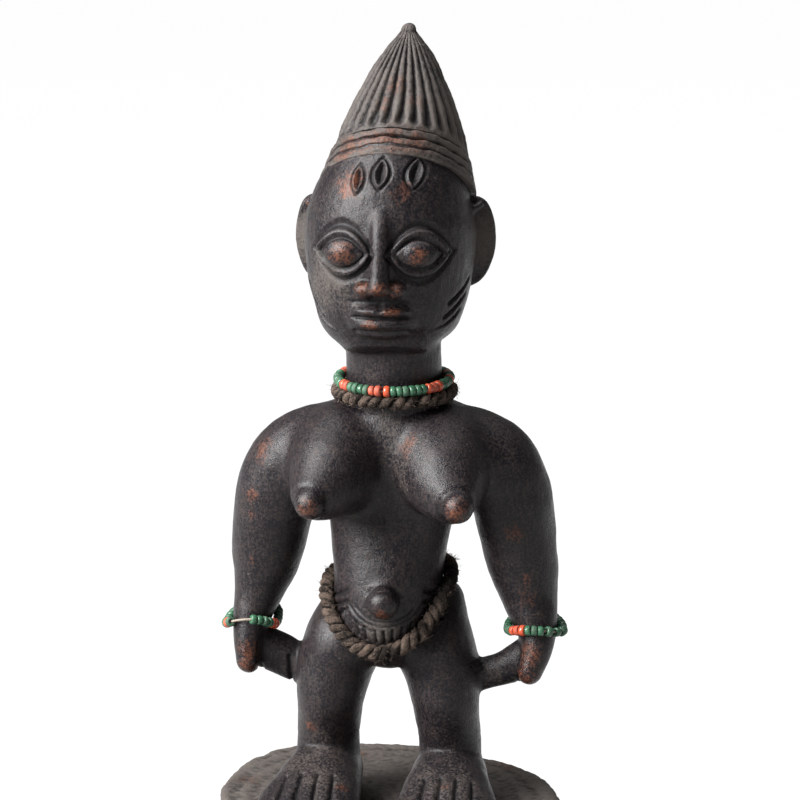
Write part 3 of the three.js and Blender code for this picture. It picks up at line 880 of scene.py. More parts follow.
HAND_LINES = [  # ends, as place across and height, and depth
    ((-16.35, 20.8), (-16.25, 15.6), 0.2),
    ((-12.6, 18.6), (-12.5, 14.0), 0.42),
    ((17.5, 20.6), (16.95, 15.8), 0.14),
]


def hand_cuts(points):
    """The line between each thumb and palm, and the line where her right finger tips end"""
    depth = np.zeros(len(points))
    in_front = points[:, 1] < 2.5
    for start, end, deep in HAND_LINES:
        distance, _ = from_stroke(points, start, end)
        depth += in_front * deep * vee(distance, 0.32)
    return depth


def back_cuts(points):
    """The furrow of the spine"""
    spine = vee(points[:, 0] - 0.6 - 0.004 * (points[:, 2] - 30), 1.3) * (points[:, 1] > 3)
    long = rise_between(points[:, 2], 27, 32) * (1 - rise_between(points[:, 2], 46, 51))
    return 0.35 * spine * long


def tool_marks(points, *kinds):
    """Slight flats left by the knife, of each kind given by its size and height"""
    total = 0
    for size, height in kinds:
        scale = 1 / size
        total = total + np.array([height * noise.noise(Vector(p) * scale) for p in points])
    return total


# Wear and dust, and one place of painted light, by place: [x, y, z, reach]

HEAD_WEAR = [
    [-3.4, -8.8, 81.6, 2.4],
    [2.8, -8.9, 80.6, 1.8],
    [FACE_MIDDLE - EYE_ACROSS, -11.5, EYE_HEIGHT, 2.0],
    [FACE_MIDDLE + EYE_ACROSS, -11.5, EYE_HEIGHT, 1.5],
    [FACE_MIDDLE, -13.2, NOSE_BASE + 1, 1.6],
    [FACE_MIDDLE - 1.9, -12.0, NOSE_BASE + 1, 1.4],
    [FACE_MIDDLE + 1.9, -12.0, NOSE_BASE + 1, 1.2],
    [FACE_MIDDLE - 1.5, -12.0, MOUTH - 0.8, 1.6],
    [FACE_MIDDLE + 1.8, -12.0, MOUTH + 0.8, 1.4],
    [-9.6, 1.0, 77.6, 1.0],
]
HAIR_WEAR = [
    [-4.6, -5.6, 85.6, 2.6],
    [-1.6, -7.4, 86.8, 2.8],
    [1.6, -7.8, 87.4, 3.0],
    [4.8, -6.8, 87.0, 2.6],
    [1.7, -3.0, 94.2, 2.4],
    [4.6, -4.0, 91.8, 1.8],
    [0.0, -4.8, 91.8, 2.0],
    [-2.6, -4.6, 90.4, 1.6],
    [6.0, -3.2, 92.0, 1.3],
]
BODY_WEAR = [
    [-8.0, -14.4, 41.6, 1.7],
    [10.5, -14.4, 41.8, 2.1],
    [-7.6, -7.0, 48.2, 1.3],
    [-5.7, -6.4, 49.8, 1.0],
    [-8.9, -9.0, 45.5, 0.9],
    [8.7, -9.4, 45.5, 0.8],
    [4.4, -6.6, 48.8, 1.1],
    [-15.4, -2.8, 46.4, 2.0],
    [-17.0, -3.0, 40.4, 1.2],
    [-17.0, -3.0, 38.0, 0.9],
    [-17.2, -3.0, 31.5, 1.1],
    [16.6, -3.2, 36.5, 1.5],
    [18.2, -2.8, 27.5, 1.9],
    [18.4, -2.9, 30.0, 1.3],
    [-17.9, -3.8, 16.8, 2.8],
    [-17.4, -3.6, 20.0, 2.0],
    [18.4, -3.8, 17.0, 3.2],
    [18.5, -3.6, 20.6, 2.4],
    [0.5, -10.6, 26.4, 1.8],
    [-7.6, -6.2, 48.0, 1.8],
    [-4.6, -5.8, 49.4, 1.2],
    [4.0, -7.2, 48.2, 1.9],
    [-4.4, -6.6, 33.4, 1.4],
    [-4.8, -7.2, 30.6, 1.0],
    [-9.8, -3.8, 10.0, 1.2],
    [8.6, -10.5, 4.4, 1.4],
    [-4.6, -11.0, 4.2, 1.2],
]
BASE_WEAR = [
    [-19.0, 4.0, 0.0, 3.0],
    [14.0, 14.0, 0.0, 4.0],
    [-6.0, 17.0, 0.0, 3.0],
]
DUSTY_PLACES = [
    [FACE_MIDDLE - 10.7, 1.5, 73.0, 4.0],
    [FACE_MIDDLE + 10.9, 1.5, 73.0, 4.5],
    [-5.5, 1.0, 1.0, 4.0],
    [6.0, 1.0, 1.0, 4.0],
    [0.5, -7.5, 24.0, 3.0],
]
FAINT_DUST_AND_PAINTED_LIGHT = [
    [1.0, -6.0, 50.3, 2.0],
    [1.8, -6.8, 48.0, 2.4],
    [2.8, -7.6, 45.6, 2.4],
    [3.4, -8.0, 43.4, 2.0],
    [-6.6, -8.6, 69.0, 5.0],
    [-8.0, -9.0, 2.0, 9.0],
    [9.0, -9.0, 2.0, 9.0],
    [13.5, -0.5, 17.0, 3.0],
    [-8.4, -5.0, 7.7, 2.6],
    [9.4, -5.0, 7.7, 2.6],
    # painted light, not dust: pales the right side of the hair, where the edges of its ridges catch the light
    [8.5, 0.5, 87.5, 4.5],
]
THUMBS = [(-17.4, -3.8, 18.2), (18.2, -3.8, 18.2)]
POLISHED_PLACES = [[*place, 2.6] for place in (*NIPPLES, NAVEL, *THUMBS)]


def nearness(points, places):
    """1 at each of the places, easing to 0 at one and a half times its reach"""
    total = np.zeros(len(points))
    for x, y, z, reach in places:
        total = np.maximum(total, hump(np.linalg.norm(points - np.array([x, y, z]), axis=1), 1.5 * reach))
    return total


def mask_wood(block, wear, rubbed, dusty=0.0, dust_on_top=0.0):
    """Stores where the wood is worn and dusty, and its painted shade in creases and hollows. dusty is the
    dust it has everywhere.
    """
    hollow = block.hollowness(rounds=24, full=0.3)
    crease = block.hollowness(rounds=4, full=0.06)
    block.paint_mask("worn", rubbed * nearness(block.points, wear) - 0.5 * np.clip(hollow, 0, 1))
    # the faint places are dust, but for one on the hair that paints light
    dust = nearness(block.points, DUSTY_PLACES) + 0.55 * nearness(block.points, FAINT_DUST_AND_PAINTED_LIGHT)
    block.paint_mask("dusty", dusty + dust - dust_on_top * hollow)
    # painted shade: darker the deeper a point lies in a hollow or a crease
    block.paint_mask("painted_shade", np.clip(0.6 * hollow + 0.7 * crease, 0, 1))
    block.paint_mask("polished", nearness(block.points, POLISHED_PLACES))


# Finishes: a small way of writing node maths as expressions


class Signal:
    """A node's output that can be reckoned with like a number."""

    def __init__(self, paint, socket):
        self.paint = paint
        self.socket = socket

    def maths(self, operation, *values):
        return self.paint.node("ShaderNodeMath", values, operation=operation)

    def __add__(self, other):
        return self.maths("ADD", self, other)

    def __radd__(self, other):
        return self.maths("ADD", other, self)

    def __sub__(self, other):
        return self.maths("SUBTRACT", self, other)

    def __rsub__(self, other):
        return self.maths("SUBTRACT", other, self)

    def __mul__(self, other):
        return self.maths("MULTIPLY", self, other)

    def __rmul__(self, other):
        return self.maths("MULTIPLY", other, self)

    def between(self, low, high):
        """0 below low, 1 above high, easing between"""
        return self.paint.node(
            "ShaderNodeMapRange",
            {"Value": self, "From Min": low, "From Max": high},
            interpolation_type="SMOOTHSTEP",
        )


class Paint:
    """A material whose nodes are added by expressions."""

    def __init__(self, name):
        self.material = bpy.data.materials.new(name)
        self.material.use_nodes = True
        self.tree = self.material.node_tree
        self.shader = self.tree.nodes["Principled BSDF"]

    def feed(self, socket, value):
        """Links a signal to a socket, or sets the socket's own value"""
        if isinstance(value, Signal):
            self.tree.links.new(value.socket, socket)
        else:
            socket.default_value = value

    def node(self, kind, inputs=(), output=0, **settings):
        """Adds a node, sets it first and then feeds its sockets, by name or in order"""
        made = self.tree.nodes.new(kind)
        for name, value in settings.items():
            setattr(made, name, value)
        for key, value in inputs.items() if isinstance(inputs, dict) else enumerate(inputs):
            self.feed(made.inputs[key], value)
        return Signal(self, made.outputs[output])

    def mask(self, name):
        """The mask that the piece's mesh stores under this name"""
        return self.node("ShaderNodeAttribute", output="Fac", attribute_name=name)

    def place(self, stretch=(1, 1, 1)):
        """A point's place in the object, drawn out for a pattern that follows the grain"""
        objects = self.node("ShaderNodeTexCoord", output="Object")
        return self.node("ShaderNodeMapping", {"Vector": objects, "Scale": stretch})

    def noise(self, place, size, detail=4, roughness=0.55):
        """Cloudy noise whose lumps are about the size given, in metres"""
        inputs = {"Vector": place, "Scale": 1 / size, "Detail": detail, "Roughness": roughness}
        return self.node("ShaderNodeTexNoise", inputs)

    def mix(self, share, first, second):
        return self.node("ShaderNodeMix", {0: share, 6: first, 7: second}, output=2, data_type="RGBA")

    def bump(self, height, distance, strength=1.0):
        return self.node("ShaderNodeBump", {"Height": height, "Distance": distance, "Strength": strength})

    def finish(self, colour, roughness, normal=None, **plain):
        self.feed(self.shader.inputs["Base Color"], colour)
        self.feed(self.shader.inputs["Roughness"], roughness)
        if normal is not None:
            self.feed(self.shader.inputs["Normal"], normal)
        for name, value in plain.items():
            self.shader.inputs[name.replace("_", " ")].default_value = value


def rgba(colour, scale=1.0):
    return (*(channel * scale for channel in colour), 1.0)


def once(make):
    """Makes a material the first time it is asked for."""

    def wrapped():
        if make.__name__ not in bpy.data.materials:
            make()
        return bpy.data.materials[make.__name__]

    return wrapped


@once
def aged_carved_wood():
    """A dark coat that thins to brown and is rubbed through to red-brown, with dust, and painted shade in its
    creases and hollows
    """
    tones = bpy.context.scene.ibeji_finish
    paint = Paint("aged_carved_wood")
    place = paint.place()
    cloud = paint.noise(place, 15 * MM, detail=5, roughness=0.6)
    patch = paint.noise(place, 4 * MM, detail=6, roughness=0.68)
    speck = paint.noise(place, 0.9 * MM, detail=3, roughness=0.7)
    grain = paint.noise(place, 0.6 * MM, detail=3, roughness=0.65)
    fleck = paint.noise(place, 1.3 * MM, detail=1).between(0.74, 0.79)
    streak = paint.noise(paint.place(stretch=(1, 1, 0.12)), 0.7 * MM, roughness=0.7)
    scratch = paint.noise(paint.place(stretch=(1, 0.7, 0.07)), 0.45 * MM, detail=2).between(0.7, 0.78)
    painted_shade = paint.mask("painted_shade")
    bare = (paint.mask("worn") + (patch - 0.5) * 2 + (speck - 0.5) * 1.2).between(0.3, 1.1)
    # dust lies thickest where the mask says, but not where hands rub; on the right side of the hair the same
    # mask paints light
    dusty = (paint.mask("dusty") * 0.9 + (cloud - 0.5) * 0.9 + (speck - 0.5) * 1.6).between(0.2, 1.05)
    dusty = dusty * (1 - bare * 0.75)
    # the dark coat thins in clouds, patches, streaks of the grain and specks
    thin = cloud * 0.4 + patch * 0.6 + (streak - 0.5) * 0.9 + (grain - 0.5) * 1.6 + (speck - 0.5) * 1.4
    thin = thin.between(0.32, 0.76)
    rubbed = paint.mix(speck.between(0.38, 0.62), rgba(tones.worn_wood, 0.4), rgba(tones.worn_wood, 1.5))
    colour = paint.mix(thin, rgba(tones.dark_wood), rgba(tones.brown_wood))
    colour = paint.mix(bare * 0.75, colour, rubbed)
    colour = paint.mix(dusty * 0.85, colour, rgba(tones.dust))
    colour = paint.mix(scratch * 0.3, colour, rgba(tones.dust))
    colour = paint.mix(fleck * 0.4, colour, rgba(tones.dust, 1.5))
    # painted shade: creases and hollows darkened towards black
    colour = paint.mix(painted_shade * 0.85, colour, rgba(tones.dark_wood, 0.4))
    roughness = 0.35 + (speck - 0.5) * 0.5 + (patch - 0.5) * 0.4 + dusty * 0.4 + painted_shade * 0.25
    roughness = roughness - paint.mask("polished") * 0.16
    height = streak * 0.5 + grain * 0.6 + patch * 0.8 - scratch * 0.5
    paint.finish(colour, roughness, paint.bump(height, 0.25 * MM), Specular_IOR_Level=0.19)


@once
def twisted_fibre():
    """Felted yarn: fibres run along each strand, matted in specks, with painted shade between the strands and
    painted shadow where the belly shades the waist cord
    """
    fibre = bpy.context.scene.ibeji_trim.fibre
    paint = Paint("twisted_fibre")
    place = paint.place()
    strand = paint.node("ShaderNodeUVMap", uv_map="UVMap")
    drawn = paint.node("ShaderNodeMapping", {"Vector": strand, "Scale": (70, 14, 1)})
    yarn = paint.noise(drawn, 1, roughness=0.6)
    matted = paint.noise(place, 0.55 * MM, roughness=0.7)
    cloud = paint.noise(place, 5 * MM, detail=3)
    # painted shade between the strands and painted shadow under the belly, which darken the yarn
    strand_shade = paint.mask("painted_shade")
    pale = (yarn * 0.35 + matted * 0.65 + (cloud - 0.5) * 0.6 - strand_shade * 0.3).between(0.36, 0.62)
    colour = paint.mix(pale, rgba(fibre, 0.22), rgba(fibre, 2.6))
    colour = paint.mix(strand_shade * 0.85, colour, rgba(fibre, 0.12))
    paint.finish(colour, 0.95, paint.bump(yarn * 0.6 + matted, 0.55 * MM), Specular_IOR_Level=0.15)


@once
def loose_fibre():
    """Single fibres that stand out from the cords, paler than the yarn"""
    fibre = bpy.context.scene.ibeji_trim.fibre
    paint = Paint("loose_fibre")
    cloud = paint.noise(paint.place(), 2.5 * MM)
    colour = paint.mix(cloud.between(0.35, 0.65), rgba(fibre, 0.8), rgba(fibre, 4.5))
    paint.finish(colour, 0.9, Specular_IOR_Level=0.2)


def bead_glass(name, colour):
    """Old opaque glass with a soft shine, pale where it is rubbed and dark where dirt sticks"""
    paint = Paint(name)
    place = paint.place()
    shade = paint.mask("shade")
    grime = paint.noise(place, 0.9 * MM, roughness=0.65)
    rub = paint.noise(place, 0.5 * MM, detail=3)
    dirt = (grime + (shade - 0.5) * 0.5).between(0.46, 0.7)
    glass = paint.mix(shade, rgba(colour, 0.75), rgba(colour, 1.5))
    glass = paint.mix(rub.between(0.56, 0.72) * 0.2, glass, rgba((0.4, 0.42, 0.34)))
    glass = paint.mix(dirt * 0.6, glass, rgba((0.02, 0.018, 0.015)))
    roughness = 0.3 + dirt * 0.4
    paint.finish(glass, roughness, paint.bump(grime, 0.08 * MM, 0.6), Specular_IOR_Level=0.45)


@once
def green_glass():
    bead_glass("green_glass", bpy.context.scene.ibeji_trim.green)


@once
def orange_glass():
    bead_glass("orange_glass", bpy.context.scene.ibeji_trim.orange)


@once
def thread_fibre():
    """The brown thread of the bead strings"""
    paint = Paint("thread_fibre")
    fuzz = paint.noise(paint.place(), 0.4 * MM)
    colour = paint.mix(fuzz, rgba((0.06, 0.045, 0.035)), rgba((0.3, 0.26, 0.21)))
    paint.finish(colour, 0.9, paint.bump(fuzz, 0.1 * MM))


# Loops that lie round the wood


def skin_of(name):
    """The surface of a carved piece, to be looked out at from inside it"""
    form = bmesh.new()
    form.from_mesh(bpy.data.objects[name].data)
    skin = BVHTree.FromBMesh(form)
    form.free()
    return skin


def relaxed(ring, rounds):
    """A closed line with each point drawn half way to its neighbours"""
    for _ in range(rounds):
        ring = 0.5 * ring + 0.25 * (np.roll(ring, 1, 0) + np.roll(ring, -1, 0))
    return ring


class Loop:
    """A closed path round a limb, kept clear of the wood by looking out from inside the limb."""

    def __init__(self, skins, middle, height_at, radius, points=72, slack=lambda angle: 0):
        angles = np.linspace(0, 2 * math.pi, points, endpoint=False)
        heights = np.array([height_at(angle) for angle in angles])
        out = np.array([self.reach(skins, middle, a, h, radius) + slack(a) for a, h in zip(angles, heights)])
        out = np.maximum(out, (np.roll(out, 1) + np.roll(out, -1)) / 2)
        ring = np.stack([middle[0] + out * np.cos(angles), middle[1] + out * np.sin(angles), heights], axis=1)
        ring = relaxed(ring, 2)
        self.ring = ring
        self.middle = ring.mean(0)
        steps = np.linalg.norm(np.roll(ring, -1, 0) - ring, axis=1)
        self.run = np.concatenate([[0], np.cumsum(steps)])
        self.length = self.run[-1]

    @staticmethod
    def reach(skins, middle, angle, height, radius):
        """How far out the middle of a cord of this radius lies to clear every skin"""
        direction = Vector((math.cos(angle), math.sin(angle), 0))
        found = []
        for degrees in (-70, -45, -20, 0, 20, 45, 70):
            turn = math.radians(degrees)
            start = Vector((middle[0], middle[1], height + radius * math.sin(turn)))
            for skin in skins:
                distance = skin.ray_cast(start, direction)[3]
                if distance is not None:
                    found.append(distance + radius * math.cos(turn))
        return max(found) + CLEARANCE

    def after(self, goal):
        """The point after this much of the length"""
        closed = np.vstack([self.ring, self.ring[:1]])
        return np.array([np.interp(goal, self.run, closed[:, axis]) for axis in range(3)])

    def at(self, share):
        """The point at a share of the length, with the directions out from the limb, along and across."""
        goal = (share % 1) * self.length
        point = self.after(goal)
        along = unit(self.after((goal + 0.5 * MM) % self.length) - point)
        out = point - self.middle
        out[2] = 0
        out = unit(out - along * (out @ along))
        return point, out, along, np.cross(out, along)


def tube_curve(name, lines, radius, sides=3, cyclic=True):
    """Round tubes along lists of points, as one mesh. sides is the curve's bevel resolution."""
    curve = bpy.data.curves.new(name, "CURVE")
    curve.dimensions = "3D"
    curve.bevel_depth = radius
    curve.bevel_resolution = sides
    curve.use_fill_caps = not cyclic
    for line in lines:
        path = curve.splines.new("POLY")
        path.points.add(len(line) - 1)
        path.points.foreach_set("co", np.hstack([line, np.ones((len(line), 1))]).ravel())
        path.use_cyclic_u = cyclic
    return shown(added(name, curve))


def gathered(name, meshes):
    """One mesh of several, each with its own material slot"""
    whole = bmesh.new()
    for index, mesh in enumerate(meshes):
        before = len(whole.faces)
        pour(mesh, whole)
        whole.faces.ensure_lookup_table()
        for face in whole.faces[before:]:
            face.material_index = index
    return mesh_of(name, whole)


def roughen(mesh, coarse, fine):
    """Moves each point along its normal by a coarse and a fine noise, for lumpy hand-spun fibre"""
    normals = [vert.normal.copy() for vert in mesh.vertices]
    for vert, normal in zip(mesh.vertices, normals):
        lump = noise.noise(vert.co / (1.5 * MM)) * coarse + noise.noise(vert.co / (0.5 * MM)) * fine
        vert.co += normal * lump


STRAND = 0.295  # a strand's radius, as a share of the cord's diameter
STATIONS_A_TURN = 20
WHIPPING_TURNS = (-1.5, -0.5, 0.5, 1.5)  # places along the cord, about the knot's middle
FUZZ_EVERY = 0.07 * MM  # of the cord's length, for one loose fibre
FRAYED_FIBRES = 60
FIBRE_RADIUS = 0.04 * MM
# Painted shadow on the waist cord, at her left side and at the front under the belly, where the belly shades
# it
CORD_SHADOW_PLACES = [[9.5, -2.0, 29.0, 3.4], [9.6, -5.0, 27.0, 2.6], [1.5, -9.5, 21.6, 1.6]]  # on the waist cord


def store_shelter(mesh, path, near, far):
    """Stores painted shade, 0 outside to 1 deep between the strands, and painted shadow where the belly
    shades the waist cord
    """
    tree = KDTree(len(path))
    for i, point in enumerate(path):
        tree.insert(point, i)
    tree.balance()
    out = np.array([tree.find(vert.co)[2] for vert in mesh.vertices])
    mask = mesh.attributes.new("painted_shade", "FLOAT", "POINT")
    points = np.array([vert.co[:] for vert in mesh.vertices]) - np.array([0, 0, BASE_THICKNESS])
    # painted shade between the strands, and painted shadow at the listed places
    dark = np.maximum(1 - rise_between(out, near, far), 0.75 * nearness(points / PART, CORD_SHADOW_PLACES))
    mask.data.foreach_set("value", dark.astype(np.float32))


def curly_hair(start, away, along, size, chance):
    """A fibre that leaves the cord and curls back along it"""
    lean = along * chance.choice((-1, 1)) * chance.uniform(0.3, 1.2)
    line = [start - away * 0.2 * MM]
    heading = away * chance.uniform(0.4, 1.0) + lean
    for _ in range(4):
        heading = unit(heading + np.array([chance.gauss(0, 0.45) for _ in range(3)]) - away * 0.12)
        line.append(line[-1] + heading * size / 4)
    return np.array(line)


def laid_strands(stations, turns, swing, chance):
    """The middle lines of two strands laid round each other, a little unevenly"""
    lines = []
    for k in range(2):
        wobble = [chance.uniform(0.85, 1.12) for _ in range(turns)]
        line = []
        for i, (point, out, _, rise) in enumerate(stations):
            phase = 2 * math.pi * (turns * i / len(stations) + k / 2) + 0.35 * math.sin(i / 17 + k)
            reach = swing * wobble[i * turns // len(stations)]
            line.append(point + reach * (math.cos(phase) * out + math.sin(phase) * rise))
        lines.append(relaxed(np.array(line), 3))
    return lines


def whipping(loop, knot_at, diameter):
    """Turns of twine wound round the place where the cord's ends meet"""
    middle, out, along, rise = loop.at(knot_at)
    reach = diameter * 0.5
    lines = []
    for i in WHIPPING_TURNS:
        place = middle + along * i * diameter * 0.24
        line = []
        for a in np.linspace(0, 2 * math.pi, 28, endpoint=False):
            slant = along * 0.3 * MM * math.sin(a)
            line.append(place + reach * (math.cos(a) * out + math.sin(a) * rise) + slant)
        lines.append(np.array(line))
    return lines


def loose_fibres(loop, lines, stations, diameter, frayed_at, chance):
    """Fibres that stand out all along the strands, and a tuft of them at each frayed place"""
    strand = STRAND * diameter
    hairs = []
    for _ in range(int(loop.length / FUZZ_EVERY)):
        line = chance.choice(lines)
        i = chance.randrange(len(line))
        point, _, along, _ = stations[i]
        away = unit(unit(line[i] - point) + np.array([chance.gauss(0, 0.6) for _ in range(3)]))
        size = min(chance.expovariate(1 / (0.9 * MM)) + 0.5 * MM, 3.2 * MM)
        hairs.append(curly_hair(line[i] + away * strand, away, along, size, chance))
    for share in frayed_at:
        point, out, along, rise = loop.at(share)
        for _ in range(FRAYED_FIBRES):
            away = out * chance.uniform(0.2, 1) + rise * chance.uniform(0.1, 1.3)
            away = unit(away + along * chance.gauss(0.2, 0.5))
            root = point + (out + rise) * 0.25 * diameter + along * chance.gauss(0, 0.8) * MM
            hairs.append(curly_hair(root, away, along, chance.uniform(1.5, 4.2) * MM, chance))
    return hairs


def laid_cord(name, loop, diameter, lay, knot_at, frayed_at, seed):
    """Two hand-spun strands laid round each other, whipped where the ends meet, with loose fibres"""
    chance = random.Random(seed)
    turns = round(loop.length / lay)
    steps = STATIONS_A_TURN * turns
    strand = STRAND * diameter
    stations = [loop.at(i / steps) for i in range(steps)]
    lines = laid_strands(stations, turns, diameter / 2 - strand, chance)
    yarn = tube_curve(name, lines, strand, sides=7)
    knot = tube_curve(name + "_knot", whipping(loop, knot_at, diameter), diameter * 0.15, sides=4)
    body = gathered(name, [yarn, knot])
    roughen(body, 0.3 * MM, 0.16 * MM)
    store_shelter(body, [station[0] for station in stations], 0.25 * diameter, 0.44 * diameter)
    hairs = loose_fibres(loop, lines, stations, diameter, frayed_at, chance)
    fuzz = tube_curve(name + "_fuzz", hairs, FIBRE_RADIUS, sides=0, cyclic=False)
    return gathered(name, [body, fuzz])


def bead_form(length, diameter, thread):
    """A short ring of glass made by spinning a rounded section about the thread"""
    form = bmesh.new()
    wall = (diameter - thread * 1.2) / 4
    circle = bmesh.ops.create_circle(form, segments=14, radius=1)["verts"]
    for vert in circle:  # a fuller section than a plain oval
        vert.co *= 1 + 0.12 * abs(math.sin(2 * math.atan2(vert.co.y, vert.co.x)))
    squash = Matrix.Translation((thread * 0.6 + wall, 0, 0)) @ Matrix.Rotation(math.radians(90), 4, "X")
    squash = squash @ Matrix.Diagonal((wall, length / 2, 1, 1))
    bmesh.ops.transform(form, matrix=squash, verts=circle)
    turned(form, form.edges[:], 22)
    bmesh.ops.recalc_face_normals(form, faces=form.faces)
    return form


GREEN, ORANGE, THREAD = range(3)  # places in the list of materials
BEADS = {  # by letter: length and width as shares of a common bead's, and which glass
    "G": (1.0, 1.0, GREEN),
    "g": (0.66, 1.02, GREEN),
    "B": (1.25, 1.12, GREEN),
    "O": (1.02, 1.02, ORANGE),
    "o": (0.8, 1.0, ORANGE),
}
BARE = {"_": 0.7, "-": 0.35}  # lengths of bare stretches of thread, in common beads
BEAD_LENGTH = 0.61  # a common bead's, as a share of its diameter


def filled(first, filler, last, goal):
    """An order of beads with as many of the filler in its middle as a goal, in common beads, has room for"""
    size = {kind: bead[0] for kind, bead in BEADS.items()} | BARE
    room = goal - sum(size[kind] for kind in first + last)
    count = int(room / sum(size[kind] for kind in filler) * len(filler))
    order = first + (filler * count)[:count] + last
    return order, [size[kind] for kind in order]


def threaded(name, loop, orders, start, trim, seed):
    """Beads from a share of the loop: the first ones, a filler to be repeated, and the last ones"""
    chance = random.Random(seed)
    whole = bmesh.new()
    shade = whole.verts.layers.float.new("shade")
    nominal = BEAD_LENGTH * trim.bead
    order, shares = filled(*orders, loop.length / nominal)
    lengths = [nominal * share * chance.uniform(0.92, 1.08) for share in shares]
    spare = loop.length / sum(lengths)
    at = start
    for kind, length in zip(order, lengths):
        span = length * spare / loop.length
        if kind not in BARE:
            _, wide, glass = BEADS[kind]
            width = wide * trim.bead * chance.uniform(0.9, 1.05)
            form = bead_form(length * min(spare, 1.0) * 0.96, width, trim.thread)
            point, out, along, rise = loop.at(at + span / 2)
            turn = Matrix((out, rise, along)).transposed().to_4x4()
            tip = Matrix.Rotation(chance.gauss(0, 0.1), 4, "X")
            tip = tip @ Matrix.Rotation(chance.gauss(0, 0.1), 4, "Y")
            lift = Vector(out) * chance.uniform(0, 0.2) * MM
            place = Matrix.Translation(Vector(point) + lift) @ turn @ tip
            bmesh.ops.transform(form, matrix=place, verts=form.verts)
            for face in form.faces:
                face.material_index = glass
            before = len(whole.verts)
            pour(mesh_of("bead", form), whole)
            whole.verts.ensure_lookup_table()
            tone = chance.random()  # every bead has a shade of its own
            for vert in whole.verts[before:]:
                vert[shade] = tone
        at += span
    thread_mesh = tube_curve("thread", [loop.ring], trim.thread / 2, sides=2)
    thread_mesh.polygons.foreach_set("material_index", [THREAD] * len(thread_mesh.polygons))
    pour(thread_mesh, whole)
    return mesh_of(name, whole)


# Operators, one for each piece or group of like pieces


class CarveHead(bpy.types.Operator):
    """Carve the head, face, ears and neck"""

    bl_idname = "ibeji.carve_head"
    bl_label = "Carve head"

    def execute(self, context):
        settings = context.scene.ibeji_carving
        face = Face()
        forms = [swept(HEAD, domes=(0.9, 3)), swept(NECK), *face_forms(face)]
        for side in SIDES:
            forms += ear_forms(side)
        block = Block("carved_head", forms).fuse(settings.head_grain)
        block.soften(1)
        block.blend(settings.blend_rounds // 2)
        points = block.points
        block.cut(forehead_cuts(points) + cheek_cuts(points) + eye_cuts(points) + lip_cuts(points))
        block.cut(tool_marks(block.points, (2.4, 0.06), (0.9, 0.03)))
        block.thin(settings.most_triangles)
        mask_wood(block, HEAD_WEAR, 1.0, dusty=0.1)
        block.finish()
        return {"FINISHED"}


class CarveHair(bpy.types.Operator):
    """Carve the bands of the hairline and the ridged crest of hair"""

    bl_idname = "ibeji.carve_hair"
    bl_label = "Carve hair"

    def execute(self, context):
        block = Block("carved_hair", [hair_form(context.scene.ibeji_carving)])
        block.cut(tool_marks(block.points, (2.2, 0.12), (0.6, 0.05)))
        mask_wood(block, HAIR_WEAR, 1.0, dusty=0.7, dust_on_top=0.4)
        block.finish()
        return {"FINISHED"}


class CarveBody(bpy.types.Operator):
    """Carve the trunk, arms, legs and feet"""

    bl_idname = "ibeji.carve_body"
    bl_label = "Carve body"

    def execute(self, context):
        settings = context.scene.ibeji_carving
        block = Block("carved_body", body_forms()).fuse(settings.body_grain)
        block.soften(2)
        block.blend(settings.blend_rounds, where=blended_places(block.points))
        block.blend(2 * settings.blend_rounds, where=chest_places(block.points))
        block.soften(settings.blend_rounds, where=chest_places(block.points))
        points = block.points
        cuts = (belly_cuts, breast_cuts, foot_cuts, hand_cuts, back_cuts)
        block.cut(sum(cut(points) for cut in cuts))
        block.cut(tool_marks(block.points, (3.2, 0.1), (1.1, 0.035)))
        block.thin(settings.most_triangles)
        mask_wood(block, BODY_WEAR, 0.85)
        block.finish()
        return {"FINISHED"}


CHOPS = 46
CHOP_SEED = 4


def wander(angle):
    """The rim's own radius at an angle, as a share of the base's"""
    bulges = 0.05 * hump(angle - 0.6, 0.45) + 0.06 * hump(angle - 2.3, 0.55)
    return 1 - 0.053 * np.sin(2 * angle) + 0.02 * np.cos(3 * angle) + 0.006 * np.sin(7 * angle) + bulges


def chopped(points, chops, chance):
    """Pushes what stands beyond each chop of the adze back to one plane"""
    for _ in range(chops):
        angle = chance.uniform(0, 2 * math.pi)
        slope = chance.uniform(-0.1, 0.75)
        flat = math.cos(slope)
        normal = np.array([math.cos(angle) * flat, math.sin(angle) * flat, math.sin(slope)])
        height = points @ normal
        beyond = np.clip(height - height.max() + chance.uniform(0.02, 0.12), 0, None)
        points = points - beyond[:, None] * normal
    return points


